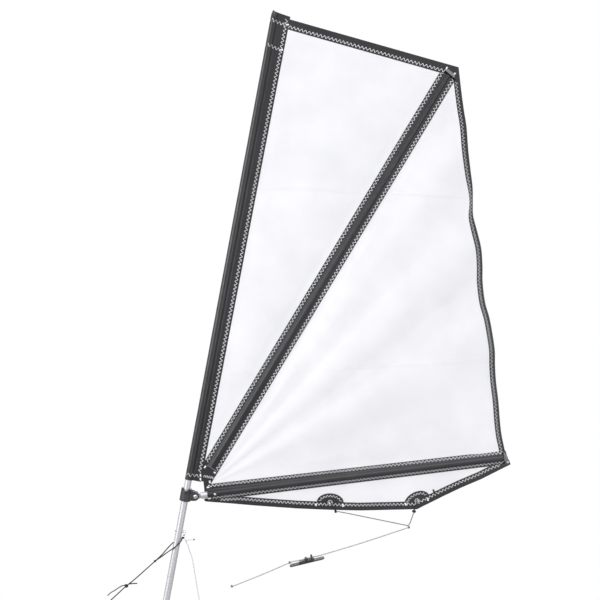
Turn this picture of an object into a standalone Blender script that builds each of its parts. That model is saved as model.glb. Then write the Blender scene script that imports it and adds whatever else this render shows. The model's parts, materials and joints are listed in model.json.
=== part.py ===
"""Canoe sail: a four-sided downwind sail on a two-piece mast, with a folding boom and sprit.

Metres, +Z up the mast, +X aft towards the clew. The origin is the centre of the mast's flat foot.
The sail lies in the plane y = 0. Boom and sprit both fold about the gooseneck pin.
"""
import math

import bmesh
import bpy
from mathutils import Matrix, Vector

# Mast
lower_tube_radius = 0.0125
lower_tube_wall = 0.0012
lower_tube_top = 1.26
upper_tube_wall = 0.0012
tube_overlap = 0.10
mast_headroom = 0.0042
foot_flange = 0.006
plug_depth = 0.035
foot_chamfer = 0.002
stop_ring_height = 0.012
stop_ring_wall = 0.0025
top_cap_dome = 0.005

# Clearances
seam_gap = 0.0003
slide_gap = 0.0003
pocket_ease = 0.0006
cutter_overrun = 0.01

# Gooseneck: the collar on the mast, and the pin that boom and sprit fold about
pivot_reach = 0.0375
pivot_height = 0.631
collar_wall = 0.0078
collar_above_pin = 0.0225
collar_below_pin = 0.0245
collar_chamfer = 0.0012
ear_radius = 0.0165
ear_setback = 0.0035
ear_thickness = 0.0066
ear_root_rise = 0.0035
scoop_radius = 0.013
scoop_depth = 0.009
scoop_setback = 0.003
tongue_thickness = 0.0118
tongue_radius = 0.0105
tongue_neck = 0.0092
tongue_neck_start = 0.0165
pin_radius = 0.003
pin_head_radius = 0.007
pin_head_height = 0.0032
washer_radius = 0.008
washer_thickness = 0.001
nut_radius = 0.0062
nut_thickness = 0.0048
pin_tail = 0.002

# Boom
boom_rise = math.radians(17.5)
boom_radius = 0.0125
boom_wall = 0.0012
boom_start = 0.0195
boom_length = 1.113
shank_length = 0.04
boom_slit_width = 0.0022
boom_slit_length = 0.021
end_plug_flange = 0.003
boom_headroom = 0.0028

# Sprit
sprit_lean = math.radians(20.65)
sprit_radius = 0.008
sprit_wall = 0.001
sprit_setback = 0.0073
sprit_heel_inset = 0.0055
sprit_length = 1.674
sprit_headroom = 0.0035
sprit_cap_height = 0.003
sprit_cap_depth = 0.018

# Cloth
cloth_thickness = 0.0008
band_thickness = 0.0016
pocket_wall = 0.0009

# Luff sleeve
sleeve_above_pin = 0.055
sleeve_above_head = 0.018
sleeve_top_slope_share = -0.147
sleeve_end_wall = 0.006
flange_foot_reach = 0.0462
flange_head_reach = 0.0583

# Sprit pocket and the tack below its mouth
sprit_band_half = 0.0315
sprit_mouth = 0.1215
tack_tab_above_pin = 0.0577
tack_tab_beyond_pin = 0.0178
tack_tab_start = 0.0335

# Boom pocket
boom_pocket_start = 0.044
boom_band_rise_fore = 0.038
boom_band_rise_aft = 0.0285
boom_band_drop = 0.0232
pocket_end_wall = 0.006

# Head, leech and foot
head_rise = 0.0603
peak_beyond_band = 0.04584
peak_aside = 0.0112
head_tape_width = 0.038
leech_tape_width = 0.024
clew_beyond_band = 0.0246
clew_drop = 0.0256
foot_tape_width = 0.029
foot_front = 0.034
foot_depth = 0.148
leech_ripple = 0.006
belly_share = 0.045
panel_tip = 0.012
skirt_tip = 0.004
peak_patch_share = 0.5
clew_round = 0.014

# Where the leech's edge lies: along the chord from peak to clew, and in from it, as shares of the chord
leech_edge_shares = (
    (0.000, 0.0000), (0.060, 0.0008), (0.110, 0.0006), (0.150, -0.0002), (0.205, 0.0030),
    (0.260, 0.0036), (0.300, 0.0035), (0.335, 0.0075), (0.370, 0.0120), (0.400, 0.0092),
    (0.430, 0.0056), (0.460, 0.0032), (0.500, 0.0052), (0.540, 0.0096), (0.590, 0.0101),
    (0.630, 0.0050), (0.670, 0.0032), (0.712, 0.0026), (0.750, 0.0064), (0.790, 0.0088),
    (0.840, 0.0094), (0.890, 0.0124), (0.925, 0.0128), (0.955, 0.0105),
)
# The foot's edge: along the line from its front corner to the clew, and below the boom, as shares
foot_edge_shares = (
    (0.000, 0.165), (0.078, 0.285), (0.158, 0.415), (0.292, 0.615), (0.398, 0.750), (0.495, 0.858),
    (0.570, 0.915), (0.662, 0.985), (0.680, 1.000), (0.769, 0.757), (0.833, 0.595), (0.898, 0.453),
    (0.947, 0.318),
)

# Eyelets and their half-moon patches on the foot
eyelet_radius = 0.010
eyelet_hole = 0.0052
eyelet_barrel = 0.0066
eyelet_flange = 0.0009
patch_radius = 0.049
patch_height = 0.032
patch_thickness = 0.0008
eyelet_along_shares = (0.402, 0.683)
foot_tab_along_share = 0.742
foot_tab_width = 0.006
foot_tab_overhang = 0.010

# Rivets and corner tabs
rivet_head_radius = 0.0042
rivet_head_height = 0.0016
rivet_radius = 0.002
rivet_dome_share = 0.45
boom_rivet_inset = 0.0285
tack_rivet_below_mouth = 0.0119
tack_rivet_aside = 0.0158
clew_rivet_inset = 0.0092
tab_width = 0.012
tab_length = 0.036
tab_thickness = 0.0012

# Mast ring that the stays are tied to
eye_height = 0.494
eye_pin_radius = 0.002
eye_reach = 0.0195
eye_ring_radius = 0.0052
eye_wire_radius = 0.0013
eye_head_radius = 0.005
eye_head_height = 0.0022
split_ring_radius = 0.0078
split_ring_wire = 0.0011
split_ring_pitch = 0.0026
split_ring_turns = 1.8

# Cords
stay_radius = 0.0021
light_stay_radius = 0.0019
bridle_radius = 0.0018
sheet_radius = 0.002
loop_radius = 0.013
knot_radius_share = 2.1
knot_length_share = 1.3
ring_knot_length_share = 1.1
splice_length_share = 1.8
knot_waist_share = 0.06
stay_tail_share = 0.85
light_tail_share = 0.8
light_tail_knot_share = 1.6
loop_width_share = 0.6

# Cleat on the sheet
cleat_centre = (0.486, 0.467)
cleat_pitch = math.radians(24.0)
cleat_plate_length = 0.131
cleat_plate_width = 0.040
cleat_plate_thickness = 0.003
cleat_base_length = 0.056
cleat_base_width = 0.032
cleat_base_height = 0.0055
cleat_bolt_spacing = 0.026
cam_pivot_aside = 0.0085
cam_height = 0.0085
cam_radius = 0.0054
cam_bore = 0.0023
cam_tooth_depth = 0.0007
cam_teeth = 7
cam_screw_radius = 0.002
cam_screw_head = 0.0036
cam_screw_head_height = 0.0016
sheet_above_base = 0.0048
fairlead_along = 0.020
fairlead_span = 0.0115
fairlead_rise = 0.0135
fairlead_wire = 0.0017
plate_hole_radius = 0.0027
plate_bolt_head = 0.0045
plate_bolt_height = 0.0022
plate_bolt_tail = 0.004

# Facet counts
round_sides = 32
small_sides = 16
knot_sides = 10
cord_resolution = 2
cap_points = 12
loop_points = 20

# Shares of a size, and the least distances that count
weld_distance = 0.00001
straight_sine = 0.001
flange_start_share = 1.62
dome_top_share = 0.85
dome_edge_share = 0.7
head_edge_share = 0.4
cap_edge_share = 0.86
ear_root_share = 0.7
eyelet_drop_share = 0.3
clew_corner_shares = ((0.45, 1.6), (0.12, 0.75))
clew_tab_shares = (0.7, 0.9)
plate_corner_share = 0.28
base_corner_share = 0.3
cam_swell_share = 0.16
screw_head_share = 0.8

# Values that follow from the sizes above
upper_tube_radius = lower_tube_radius - lower_tube_wall - slide_gap
pivot = Vector((pivot_reach, 0.0, pivot_height))
fork_gap = tongue_thickness + 2 * slide_gap
fork_half = fork_gap / 2 + ear_thickness
boom_along = Vector((math.cos(boom_rise), 0.0, math.sin(boom_rise)))
boom_up = Vector((-math.sin(boom_rise), 0.0, math.cos(boom_rise)))
sprit_along = Vector((math.sin(sprit_lean), 0.0, math.cos(sprit_lean)))
sprit_aft = Vector((math.cos(sprit_lean), 0.0, -math.sin(sprit_lean)))
sprit_band_fore = -sprit_setback - sprit_band_half
sprit_band_aft = -sprit_setback + sprit_band_half
across = Vector((0.0, 1.0, 0.0))
aft = Vector((1.0, 0.0, 0.0))
upward = Vector((0.0, 0.0, 1.0))
cloth_front = band_thickness / 2 + seam_gap
sprit_start = sprit_mouth + sprit_heel_inset
sprit_end = sprit_start + sprit_length
sprit_band_end = sprit_end + seam_gap + sprit_cap_height + sprit_headroom + pocket_end_wall
boom_end = boom_start + boom_length
boom_pocket_end = boom_end + seam_gap + end_plug_flange + boom_headroom + pocket_end_wall
clew_along = boom_pocket_end + clew_beyond_band


def clear_scene():
    for item in list(bpy.data.objects):
        bpy.data.objects.remove(item, do_unlink=True)


def new_collection(name):
    group = bpy.data.collections.new(name)
    bpy.context.scene.collection.children.link(group)
    return group


clear_scene()
parts = new_collection("canoe_sail")
cutters = new_collection("cutters")


# Shapes
def linear(channel):
    return channel / 12.92 if channel <= 0.04045 else ((channel + 0.055) / 1.055) ** 2.4


def finish(name, hex_colour, roughness, metallic=0.0):
    """The piece's own Principled material."""
    surface = bpy.data.materials.new(name + "_finish")
    surface.use_nodes = True
    shader = surface.node_tree.nodes["Principled BSDF"]
    channels = [int(hex_colour[index:index + 2], 16) / 255 for index in (0, 2, 4)]
    shader.inputs["Base Color"].default_value = [linear(channel) for channel in channels] + [1.0]
    shader.inputs["Roughness"].default_value = roughness
    shader.inputs["Metallic"].default_value = metallic
    return surface


def trim(name):
    return finish(name, "3F3E43", 0.62)


def sailcloth(name):
    return finish(name, "EEEEF3", 0.55)


def black_plastic(name):
    return finish(name, "2E2E31", 0.42)


def aluminium(name):
    return finish(name, "C8C8CC", 0.32, 0.9)


def steel(name):
    return finish(name, "D2D2D4", 0.22, 1.0)


def black_cord(name):
    return finish(name, "232326", 0.75)


def grey_cord(name):
    return finish(name, "8D8D90", 0.75)


def add_object(name, data, surface=None):
    """Link a mesh or curve: a piece when it has a finish, otherwise a cutter or guide."""
    item = bpy.data.objects.new(name, data)
    if surface is None:
        cutters.objects.link(item)
        item.hide_render = True
        item.display_type = "WIRE"
    else:
        parts.objects.link(item)
        data.materials.append(surface)
    return item


def shade_round(mesh):
    mesh.shade_smooth()
    mesh.set_sharp_from_angle(angle=math.radians(35))


def seat(origin, direction):
    """The placement that turns local +Z to the direction."""
    turn = Vector(direction).to_track_quat("Z", "Y").to_matrix().to_4x4()
    return Matrix.Translation(origin) @ turn


def revolve(name, profile, place, surface=None, sides=round_sides, ring=False):
    """Turn a profile of (radius, height), which runs down the outer side, about local Z."""
    mesh = bpy.data.meshes.new(name)
    points = [(radius, 0.0, height) for radius, height in profile]
    edges = [(index, index + 1) for index in range(len(points) - 1)]
    if ring:
        edges.append((len(points) - 1, 0))
    mesh.from_pydata(points, edges, [])
    item = add_object(name, mesh, surface)
    screw = item.modifiers.new("turn", "SCREW")
    screw.steps = sides
    screw.render_steps = sides
    screw.use_merge_vertices = True
    screw.merge_threshold = weld_distance
    screw.use_smooth_shade = True
    item.matrix_world = place
    return item


def rod_profile(radius, low, high):
    return [(0.0, high), (radius, high), (radius, low), (0.0, low)]


def tube_profile(radius, wall, low, high):
    inner = radius - wall
    return [(radius, high), (radius, low), (inner, low), (inner, high)]


def cylinder(name, radius, start, end, surface=None, sides=round_sides, end_radius=None):
    """A cylinder or cone between two points."""
    span = Vector(end) - Vector(start)
    work = bmesh.new()
    far_radius = radius if end_radius is None else end_radius
    bmesh.ops.create_cone(
        work, cap_ends=True, segments=sides, radius1=radius, radius2=far_radius, depth=span.length)
    mesh = bpy.data.meshes.new(name)
    work.to_mesh(mesh)
    work.free()
    shade_round(mesh)
    item = add_object(name, mesh, surface)
    item.matrix_world = seat((Vector(start) + Vector(end)) / 2, span)
    return item


def fix_mesh(item, surface=None):
    """Replace a curve by its mesh, with its caps welded."""
    graph = bpy.context.evaluated_depsgraph_get()
    mesh = bpy.data.meshes.new_from_object(item.evaluated_get(graph))
    work = bmesh.new()
    work.from_mesh(mesh)
    bmesh.ops.remove_doubles(work, verts=work.verts, dist=weld_distance)
    bmesh.ops.recalc_face_normals(work, faces=work.faces)
    work.to_mesh(mesh)
    work.free()
    mesh.materials.clear()
    name = item.name
    place = item.matrix_world.copy()
    bpy.data.objects.remove(item)
    solid = add_object(name, mesh, surface)
    solid.matrix_world = place
    return solid


def flat_solid(name, outline, thickness, place, surface=None):
    """A flat solid of an outline in the local XY plane, thickened about it along local Z."""
    curve = bpy.data.curves.new(name, "CURVE")
    curve.dimensions = "2D"
    curve.fill_mode = "BOTH"
    curve.extrude = thickness / 2
    spline = curve.splines.new("POLY")
    spline.points.add(len(outline) - 1)
    for point, (first, second) in zip(spline.points, outline):
        point.co = (first, second, 0.0, 1.0)
    spline.use_cyclic_u = True
    item = add_object(name, curve)
    item.matrix_world = place
    bpy.context.view_layer.update()
    return fix_mesh(item, surface)


def plate(name, outline, thickness, surface=None, depth=0.0):
    """A flat solid of an (x, z) outline in the sail's plane, moved along Y by the depth."""
    upright = Matrix.Translation((0.0, depth, 0.0)) @ Matrix.Rotation(math.pi / 2, 4, "X")
    return flat_solid(name, outline, thickness, upright, surface)


def tube(name, points, radius, surface=None, cyclic=False):
    """A round cord or wire along the points."""
    curve = bpy.data.curves.new(name, "CURVE")
    curve.dimensions = "3D"
    curve.bevel_depth = radius
    curve.bevel_resolution = cord_resolution
    curve.use_fill_caps = True
    spline = curve.splines.new("POLY")
    spline.points.add(len(points) - 1)
    for point, place in zip(spline.points, points):
        point.co = (*place, 1.0)
    spline.use_cyclic_u = cyclic
    spline.use_smooth = True
    return add_object(name, curve, surface)


def loft(name, rings, surface=None):
    """Skin equal rings of points, from the first to the last, and close both ends."""
    work = bmesh.new()
    rows = [[work.verts.new(point) for point in ring] for ring in rings]
    count = len(rings[0])
    for row, after in zip(rows, rows[1:]):
        for index in range(count):
            turn = (index + 1) % count
            work.faces.new((row[index], row[turn], after[turn], after[index]))
    work.faces.new(list(reversed(rows[0])))
    work.faces.new(rows[-1])
    bmesh.ops.recalc_face_normals(work, faces=work.faces)
    mesh = bpy.data.meshes.new(name)
    work.to_mesh(mesh)
    work.free()
    shade_round(mesh)
    return add_object(name, mesh, surface)


def boolean(item, other, operation):
    step = item.modifiers.new(operation.lower(), "BOOLEAN")
    step.operation = operation
    step.object = other


def cut(item, *tools):
    for tool in tools:
        boolean(item, tool, "DIFFERENCE")


def fuse(item, *others):
    for other in others:
        boolean(item, other, "UNION")


def cloth(name, rail_a, rail_b, rows, thickness, surface, bow_share=0.0):
    """A cloth ruled between two rails of equally many points, bowed out by a share of its width."""
    work = bmesh.new()
    grid = []
    last = len(rail_a) - 1
    for row in range(rows + 1):
        far = row / rows
        line = [Vector(a).lerp(Vector(b), far) for a, b in zip(rail_a, rail_b)]
        width = (line[-1] - line[0]).length
        bow = bow_share * width * math.sin(math.pi * far)
        for index, point in enumerate(line):
            point.y -= bow * math.sin(math.pi * index / last)
        grid.append([work.verts.new(point) for point in line])
    for row, after in zip(grid, grid[1:]):
        for index in range(last):
            work.faces.new((row[index], row[index + 1], after[index + 1], after[index]))
    mesh = bpy.data.meshes.new(name)
    work.to_mesh(mesh)
    work.free()
    shade_round(mesh)
    item = add_object(name, mesh, surface)
    thicken = item.modifiers.new("thickness", "SOLIDIFY")
    thicken.thickness = thickness
    thicken.offset = 0.0
    return item


# Places on the spars, and lines in the sail's plane
def on_boom(along, up, depth=0.0):
    return pivot + boom_along * along + boom_up * up + across * depth


def on_sprit(along, aft, depth=0.0):
    return pivot + sprit_along * along + sprit_aft * aft + across * depth


def flat(point):
    return (point.x, point.z)


def meet(first, second):
    """The crossing of two lines, each given as two points in the sail's plane."""
    start, run = first[0], first[1] - first[0]
    other, way = second[0], second[1] - second[0]
    gap = other - start
    share = (gap.x * way.z - gap.z * way.x) / (run.x * way.z - run.z * way.x)
    return start + run * share


def through(point, direction):
    """The line through a point in a direction."""
    return (point, point + direction)


def shift(line, offset):
    """A line moved sideways, to the left of its own direction."""
    run = (line[1] - line[0]).normalized()
    side = Vector((-run.z, 0.0, run.x)) * offset
    return (line[0] + side, line[1] + side)


def offset_path(points, offset):
    """A chain of points moved sideways, with its corners kept sharp."""
    lines = [shift(pair, offset) for pair in zip(points, points[1:])]
    inner = []
    for first, second in zip(lines, lines[1:]):
        bend = (first[1] - first[0]).normalized().cross((second[1] - second[0]).normalized())
        straight = abs(bend.y) < straight_sine
        inner.append(first[1] if straight else meet(first, second))
    return [lines[0][0]] + inner + [lines[-1][1]]


peak = on_sprit(sprit_band_end + peak_beyond_band, peak_aside)
head_fore_height = peak.z + head_rise
sleeve_foot = pivot_height + sleeve_above_pin
sleeve_top = head_fore_height + sleeve_above_head
mast_top = sleeve_top - sleeve_end_wall - mast_headroom - top_cap_dome - seam_gap
flange_line = (
    Vector((flange_foot_reach, 0.0, sleeve_foot)), Vector((flange_head_reach, 0.0, sleeve_top)))
sprit_fore_line = (on_sprit(sprit_mouth, sprit_band_fore), on_sprit(sprit_band_end, sprit_band_fore))
sprit_aft_line = (on_sprit(sprit_mouth, sprit_band_aft), on_sprit(sprit_band_end, sprit_band_aft))
boom_top_line = (
    on_boom(boom_pocket_start, boom_band_rise_fore), on_boom(boom_pocket_end, boom_band_rise_aft))
boom_low_line = (on_boom(boom_pocket_start, -boom_band_drop), on_boom(boom_pocket_end, -boom_band_drop))
clew = on_boom(clew_along, -clew_drop)
head_top_line = (Vector((flange_head_reach, 0.0, head_fore_height)), peak)
head_low_line = shift(head_top_line, -head_tape_width)


def leech_edge():
    """The leech's outer edge from the peak to the boom, with a ripple that dies out at its ends."""
    chord = clew - peak
    inward = Vector((chord.z, 0.0, -chord.x))
    points = []
    for along_share, inset_share in leech_edge_shares:
        point = peak + chord * along_share + inward * inset_share
        fade = math.sin(math.pi * along_share)
        point.y = leech_ripple * fade * math.sin(8 * math.pi * along_share)
        points.append(point)
    return points


def foot_edge():
    """The foot's outer edge from below the boom's front end to the clew."""
    span = clew_along - foot_front
    points = [on_boom(foot_front + span * along, -foot_depth * drop) for along, drop in foot_edge_shares]
    return points + [clew]


# Mast: a two-piece telescoping tube, plugged at the foot and capped at the top
def build_mast():
    upright = Matrix.Identity(4)
    lower_inner = lower_tube_radius - lower_tube_wall
    revolve(
        "mast_lower_tube",
        tube_profile(lower_tube_radius, lower_tube_wall, foot_flange + seam_gap, lower_tube_top),
        upright, aluminium("mast_lower_tube"), ring=True)
    upper_start = lower_tube_top - tube_overlap
    revolve(
        "mast_upper_tube", tube_profile(upper_tube_radius, upper_tube_wall, upper_start, mast_top),
        upright, aluminium("mast_upper_tube"), ring=True)
    stop_radius = lower_inner - seam_gap
    stop_top = upper_start - seam_gap
    revolve(
        "mast_stop_ring", tube_profile(stop_radius, stop_ring_wall, stop_top - stop_ring_height, stop_top),
        upright, black_plastic("mast_stop_ring"), ring=True)
    spigot = lower_inner - seam_gap
    foot_profile = [
        (0.0, foot_flange + plug_depth), (spigot - foot_chamfer, foot_flange + plug_depth),
        (spigot, foot_flange + plug_depth - foot_chamfer), (spigot, foot_flange),
        (lower_tube_radius, foot_flange), (lower_tube_radius, foot_chamfer),
        (lower_tube_radius - foot_chamfer, 0.0), (0.0, 0.0)]
    revolve("mast_foot_plug", foot_profile, upright, black_plastic("mast_foot_plug"))
    cap_spigot = upper_tube_radius - upper_tube_wall - seam_gap
    cap_base = mast_top + seam_gap
    cap_profile = [
        (0.0, cap_base + top_cap_dome), (upper_tube_radius / 2, cap_base + top_cap_dome * dome_top_share),
        (upper_tube_radius * cap_edge_share, cap_base + top_cap_dome / 2), (upper_tube_radius, cap_base),
        (cap_spigot, cap_base), (cap_spigot, cap_base - plug_depth / 2), (0.0, cap_base - plug_depth / 2)]
    revolve("mast_top_cap", cap_profile, upright, black_plastic("mast_top_cap"))


# Mast eye: a cross pin whose eye holds the split ring that the stays are tied to
def build_mast_eye():
    eye_start = Vector((-lower_tube_radius - eye_head_height - seam_gap, 0.0, eye_height))
    eye_end = Vector((eye_reach - eye_ring_radius, 0.0, eye_height))
    eye = cylinder("mast_eye", eye_pin_radius, eye_start, eye_end, steel("mast_eye"), small_sides)
    head_end = eye_start + Vector((eye_head_height, 0.0, 0.0))
    head = cylinder("mast_eye_head", eye_head_radius, eye_start, head_end, sides=small_sides)
    loop = [
        Vector((eye_reach, 0.0, eye_height)) + eye_ring_radius * Vector((math.cos(turn), 0.0, math.sin(turn)))
        for turn in (2 * math.pi * step / small_sides for step in range(small_sides))]
    eye_loop = fix_mesh(tube("mast_eye_loop", loop, eye_wire_radius, cyclic=True))
    fuse(eye, head, eye_loop)
    shaft = bpy.data.objects["mast_lower_tube"]
    hole_reach = Vector((lower_tube_radius + cutter_overrun, 0.0, 0.0))
    middle = Vector((0.0, 0.0, eye_height))
    bore = cylinder(
        "mast_eye_bore", eye_pin_radius + slide_gap, middle - hole_reach, middle + hole_reach,
        sides=small_sides)
    cut(shaft, bore)
    steps = int(split_ring_turns * small_sides)
    centre = Vector((eye_reach, 0.0, eye_height - split_ring_radius))
    ring = []
    for step in range(steps + 1):
        turn = 2 * math.pi * step / small_sides + math.pi / 2
        along = split_ring_pitch * (step / small_sides - 0.5)
        place = Vector((along, math.cos(turn) * split_ring_radius, math.sin(turn) * split_ring_radius))
        ring.append(centre + place)
    tube("mast_ring", ring, split_ring_wire, steel("mast_ring"))


# Gooseneck: the moulded collar with its fork, and the pin, washers and nut that hold the boom
def fork_outline():
    """One ear of the fork, from the collar's wall to the nose round the pin."""
    centre = pivot - Vector((ear_setback, 0.0, 0.0))
    outer = lower_tube_radius + collar_wall
    root = outer * ear_root_share
    points = [(root, pivot_height + ear_radius + ear_root_rise)]
    for step in range(cap_points + 1):
        turn = math.radians(82 - 164 * step / cap_points)
        points.append((centre.x + ear_radius * math.cos(turn), centre.z + ear_radius * math.sin(turn)))
    points.append((root, pivot_height - ear_radius - ear_root_rise))
    return points


def build_gooseneck():
    outer = lower_tube_radius + collar_wall
    bore_radius = lower_tube_radius + slide_gap
    top = pivot_height + collar_above_pin
    low = pivot_height - collar_below_pin
    profile = [
        (outer - collar_chamfer, top), (outer, top - collar_chamfer), (outer, low + collar_chamfer),
        (outer - collar_chamfer, low), (0.0, low)]
    collar = revolve(
        "gooseneck_collar", [(0.0, top)] + profile, Matrix.Identity(4), black_plastic("gooseneck_collar"))
    ear_depth = fork_gap / 2 + ear_thickness / 2
    for side, name in ((-1, "near"), (1, "far")):
        fuse(collar, plate("ear_" + name, fork_outline(), ear_thickness, depth=side * ear_depth))
    overrun = Vector((0.0, 0.0, cutter_overrun))
    cut(collar, cylinder(
        "collar_bore", bore_radius, Vector((0.0, 0.0, low)) - overrun, Vector((0.0, 0.0, top)) + overrun))
    scoop_middle = Vector((-scoop_setback, 0.0, top - scoop_depth + scoop_radius))
    scoop_reach = across * (outer + cutter_overrun)
    cut(collar, cylinder("collar_scoop", scoop_radius, scoop_middle - scoop_reach, scoop_middle + scoop_reach))
    pin_reach = across * (fork_half + cutter_overrun)
    pin_bore = cylinder(
        "pin_bore", pin_radius + slide_gap, pivot - pin_reach, pivot + pin_reach, sides=small_sides)
    cut(collar, pin_bore)
    facing = seat(pivot, -across)
    head_base = fork_half + 2 * seam_gap + washer_thickness
    pin_end = fork_half + 3 * seam_gap + washer_thickness + nut_thickness + pin_tail
    pin_profile = [
        (0.0, head_base + pin_head_height),
        (pin_head_radius * dome_edge_share, head_base + pin_head_height * dome_top_share),
        (pin_head_radius, head_base + pin_head_height * head_edge_share), (pin_head_radius, head_base),
        (pin_radius, head_base), (pin_radius, -pin_end), (0.0, -pin_end)]
    revolve("gooseneck_pin", pin_profile, facing, steel("gooseneck_pin"), small_sides * 2)
    washer_inner = washer_radius - pin_radius - slide_gap
    for name, base in (
            ("gooseneck_washer_near", fork_half + seam_gap),
            ("gooseneck_washer_far", -fork_half - seam_gap - washer_thickness)):
        revolve(
            name, tube_profile(washer_radius, washer_inner, base, base + washer_thickness), facing,
            steel(name), small_sides, ring=True)
    nut_near = pivot + across * (fork_half + 2 * seam_gap + washer_thickness)
    nut = cylinder(
        "gooseneck_nut", nut_radius, nut_near, nut_near + across * nut_thickness, steel("gooseneck_nut"), 6)
    cut(nut, pin_bore)


# Boom: an aluminium tube, slit at its inner end, with a flat tongue for the gooseneck and an end plug
def build_boom():
    outline = []
    for step in range(cap_points + 1):
        turn = math.pi / 2 + math.pi * step / cap_points
        outline.append(flat(on_boom(tongue_radius * math.cos(turn), tongue_radius * math.sin(turn))))
    inner_radius = boom_radius - boom_wall
    shank_radius = inner_radius - seam_gap
    shank_start = boom_start + boom_wall
    for along, up in (
            (tongue_neck_start / 2, -tongue_radius), (tongue_neck_start, -tongue_neck),
            (shank_start + boom_wall, -tongue_neck), (shank_start + boom_wall, tongue_neck),
            (tongue_neck_start, tongue_neck), (tongue_neck_start / 2, tongue_radius)):
        outline.append(flat(on_boom(along, up)))
    fitting = plate("boom_end_fitting", outline, tongue_thickness, aluminium("boom_end_fitting"))
    shank = cylinder("boom_shank", shank_radius, on_boom(shank_start, 0), on_boom(shank_start + shank_length, 0))
    fuse(fitting, shank)
    cut(fitting, bpy.data.objects["pin_bore"])
    facing = seat(pivot, boom_along)
    shaft = revolve(
        "boom_tube", tube_profile(boom_radius, boom_wall, boom_start, boom_end), facing,
        aluminium("boom_tube"), ring=True)
    slit_half = boom_slit_width / 2
    slit = plate(
        "boom_slit",
        [flat(on_boom(boom_start + along, up)) for along, up in (
            (-cutter_overrun, -slit_half), (boom_slit_length, -slit_half),
            (boom_slit_length, slit_half), (-cutter_overrun, slit_half))],
        2 * (boom_radius + cutter_overrun))
    cut(shaft, slit)
    plug_top = boom_end + seam_gap + end_plug_flange
    plug_profile = [
        (0.0, plug_top), (boom_radius - end_plug_flange / 2, plug_top),
        (boom_radius, plug_top - end_plug_flange / 2), (boom_radius, boom_end + seam_gap),
        (shank_radius, boom_end + seam_gap), (shank_radius, boom_end - plug_depth / 2),
        (0.0, boom_end - plug_depth / 2)]
    revolve("boom_end_plug", plug_profile, facing, black_plastic("boom_end_plug"))


# Sprit: a thin tube from the tack to the peak, capped at both ends
def build_sprit():
    heel = on_sprit(0.0, -sprit_setback)
    facing = seat(heel, sprit_along)
    revolve(
        "sprit_tube", tube_profile(sprit_radius, sprit_wall, sprit_start, sprit_end), facing,
        aluminium("sprit_tube"), small_sides, ring=True)
    spigot = sprit_radius - sprit_wall - seam_gap
    for name, face, outward in (("sprit_heel_cap", sprit_start, -1), ("sprit_peak_cap", sprit_end, 1)):
        base = face + outward * seam_gap
        tip = base + outward * sprit_cap_height
        inner = base - outward * sprit_cap_depth
        profile = [
            (0.0, tip), (sprit_radius - sprit_wall, tip), (sprit_radius, tip - outward * sprit_wall),
            (sprit_radius, base), (spigot, base), (spigot, inner), (0.0, inner)]
        if outward < 0:
            profile.reverse()
        revolve(name, profile, facing, black_plastic(name), small_sides)


# Pockets: the cloth goes round the spar and lies flat, doubled and sewn, beside it
def pocket_section(radius, left, right, sides=9):
    """Points (aside, depth) round a spar's pocket: a sleeve with a flat flange on each side.

    A flange reaches left or right from the spar's centre; with none, the sleeve is round there.
    """
    half = band_thickness / 2
    arc_end = math.radians(28)
    reach = radius * flange_start_share
    top = []
    if left is not None:
        top += [(-left, half), (-reach, half)]
        start = math.pi - arc_end
    else:
        start = math.pi
    end = arc_end
    for step in range(sides + 1):
        turn = start + (end - start) * step / sides
        top.append((radius * math.cos(turn), radius * math.sin(turn)))
    top += [(reach, half), (right, half)]
    below = [(aside, -depth) for aside, depth in reversed(top) if depth > weld_distance]
    return top + below


def build_luff_sleeve():
    foot_radius = lower_tube_radius + pocket_ease + pocket_wall
    head_radius = upper_tube_radius + pocket_ease + pocket_wall
    head_radius += slide_gap
    rings = []
    for height, radius, reach, slope in (
            (sleeve_foot, foot_radius, flange_foot_reach, 0.0),
            (sleeve_top, head_radius, flange_head_reach, sleeve_top_slope_share)):
        rings.append([
            Vector((aside, depth, height + slope * aside))
            for aside, depth in pocket_section(radius, None, reach)])
    sleeve = loft("luff_sleeve", rings, trim("luff_sleeve"))
    bore_low = Vector((0.0, 0.0, sleeve_foot - cutter_overrun))
    bore_high = Vector((0.0, 0.0, sleeve_top - sleeve_end_wall))
    cut(sleeve, cylinder(
        "sleeve_bore", foot_radius - pocket_wall, bore_low, bore_high,
        end_radius=head_radius - pocket_wall))


def build_sprit_pocket():
    radius = sprit_radius + pocket_ease + pocket_wall
    rings = []
    for along in (sprit_mouth, sprit_band_end):
        rings.append([
            on_sprit(along, aside - sprit_setback, depth)
            for aside, depth in pocket_section(radius, sprit_band_half, sprit_band_half, 7)])
    pocket = loft("sprit_pocket", rings, trim("sprit_pocket"))
    cut(pocket, cylinder(
        "sprit_bore", radius - pocket_wall, on_sprit(sprit_mouth - cutter_overrun, -sprit_setback),
        on_sprit(sprit_band_end - pocket_end_wall, -sprit_setback), sides=small_sides))
    cut(pocket, bpy.data.objects["luff_side"])


def build_boom_pocket():
    radius = boom_radius + pocket_ease + pocket_wall
    rings = []
    for along, rise in (
            (boom_pocket_start, boom_band_rise_fore), (boom_pocket_end, boom_band_rise_aft)):
        rings.append([
            on_boom(along, -aside, depth)
            for aside, depth in pocket_section(radius, rise, boom_band_drop, 9)])
    pocket = loft("boom_pocket", rings, trim("boom_pocket"))
    cut(pocket, cylinder(
        "boom_bore", radius - pocket_wall, on_boom(boom_pocket_start - cutter_overrun, 0.0),
        on_boom(boom_pocket_end - pocket_end_wall, 0.0)))
    return pocket


def build_luff_side():
    """A cutter that trims what would reach under the luff sleeve's flange."""
    edge = shift(flange_line, -seam_gap)
    outline = [
        flat(edge[0]), flat(edge[1]), (-flange_head_reach, sleeve_top), (-flange_head_reach, sleeve_foot)]
    plate("luff_side", outline, 2 * (lower_tube_radius + cutter_overrun))


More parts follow.
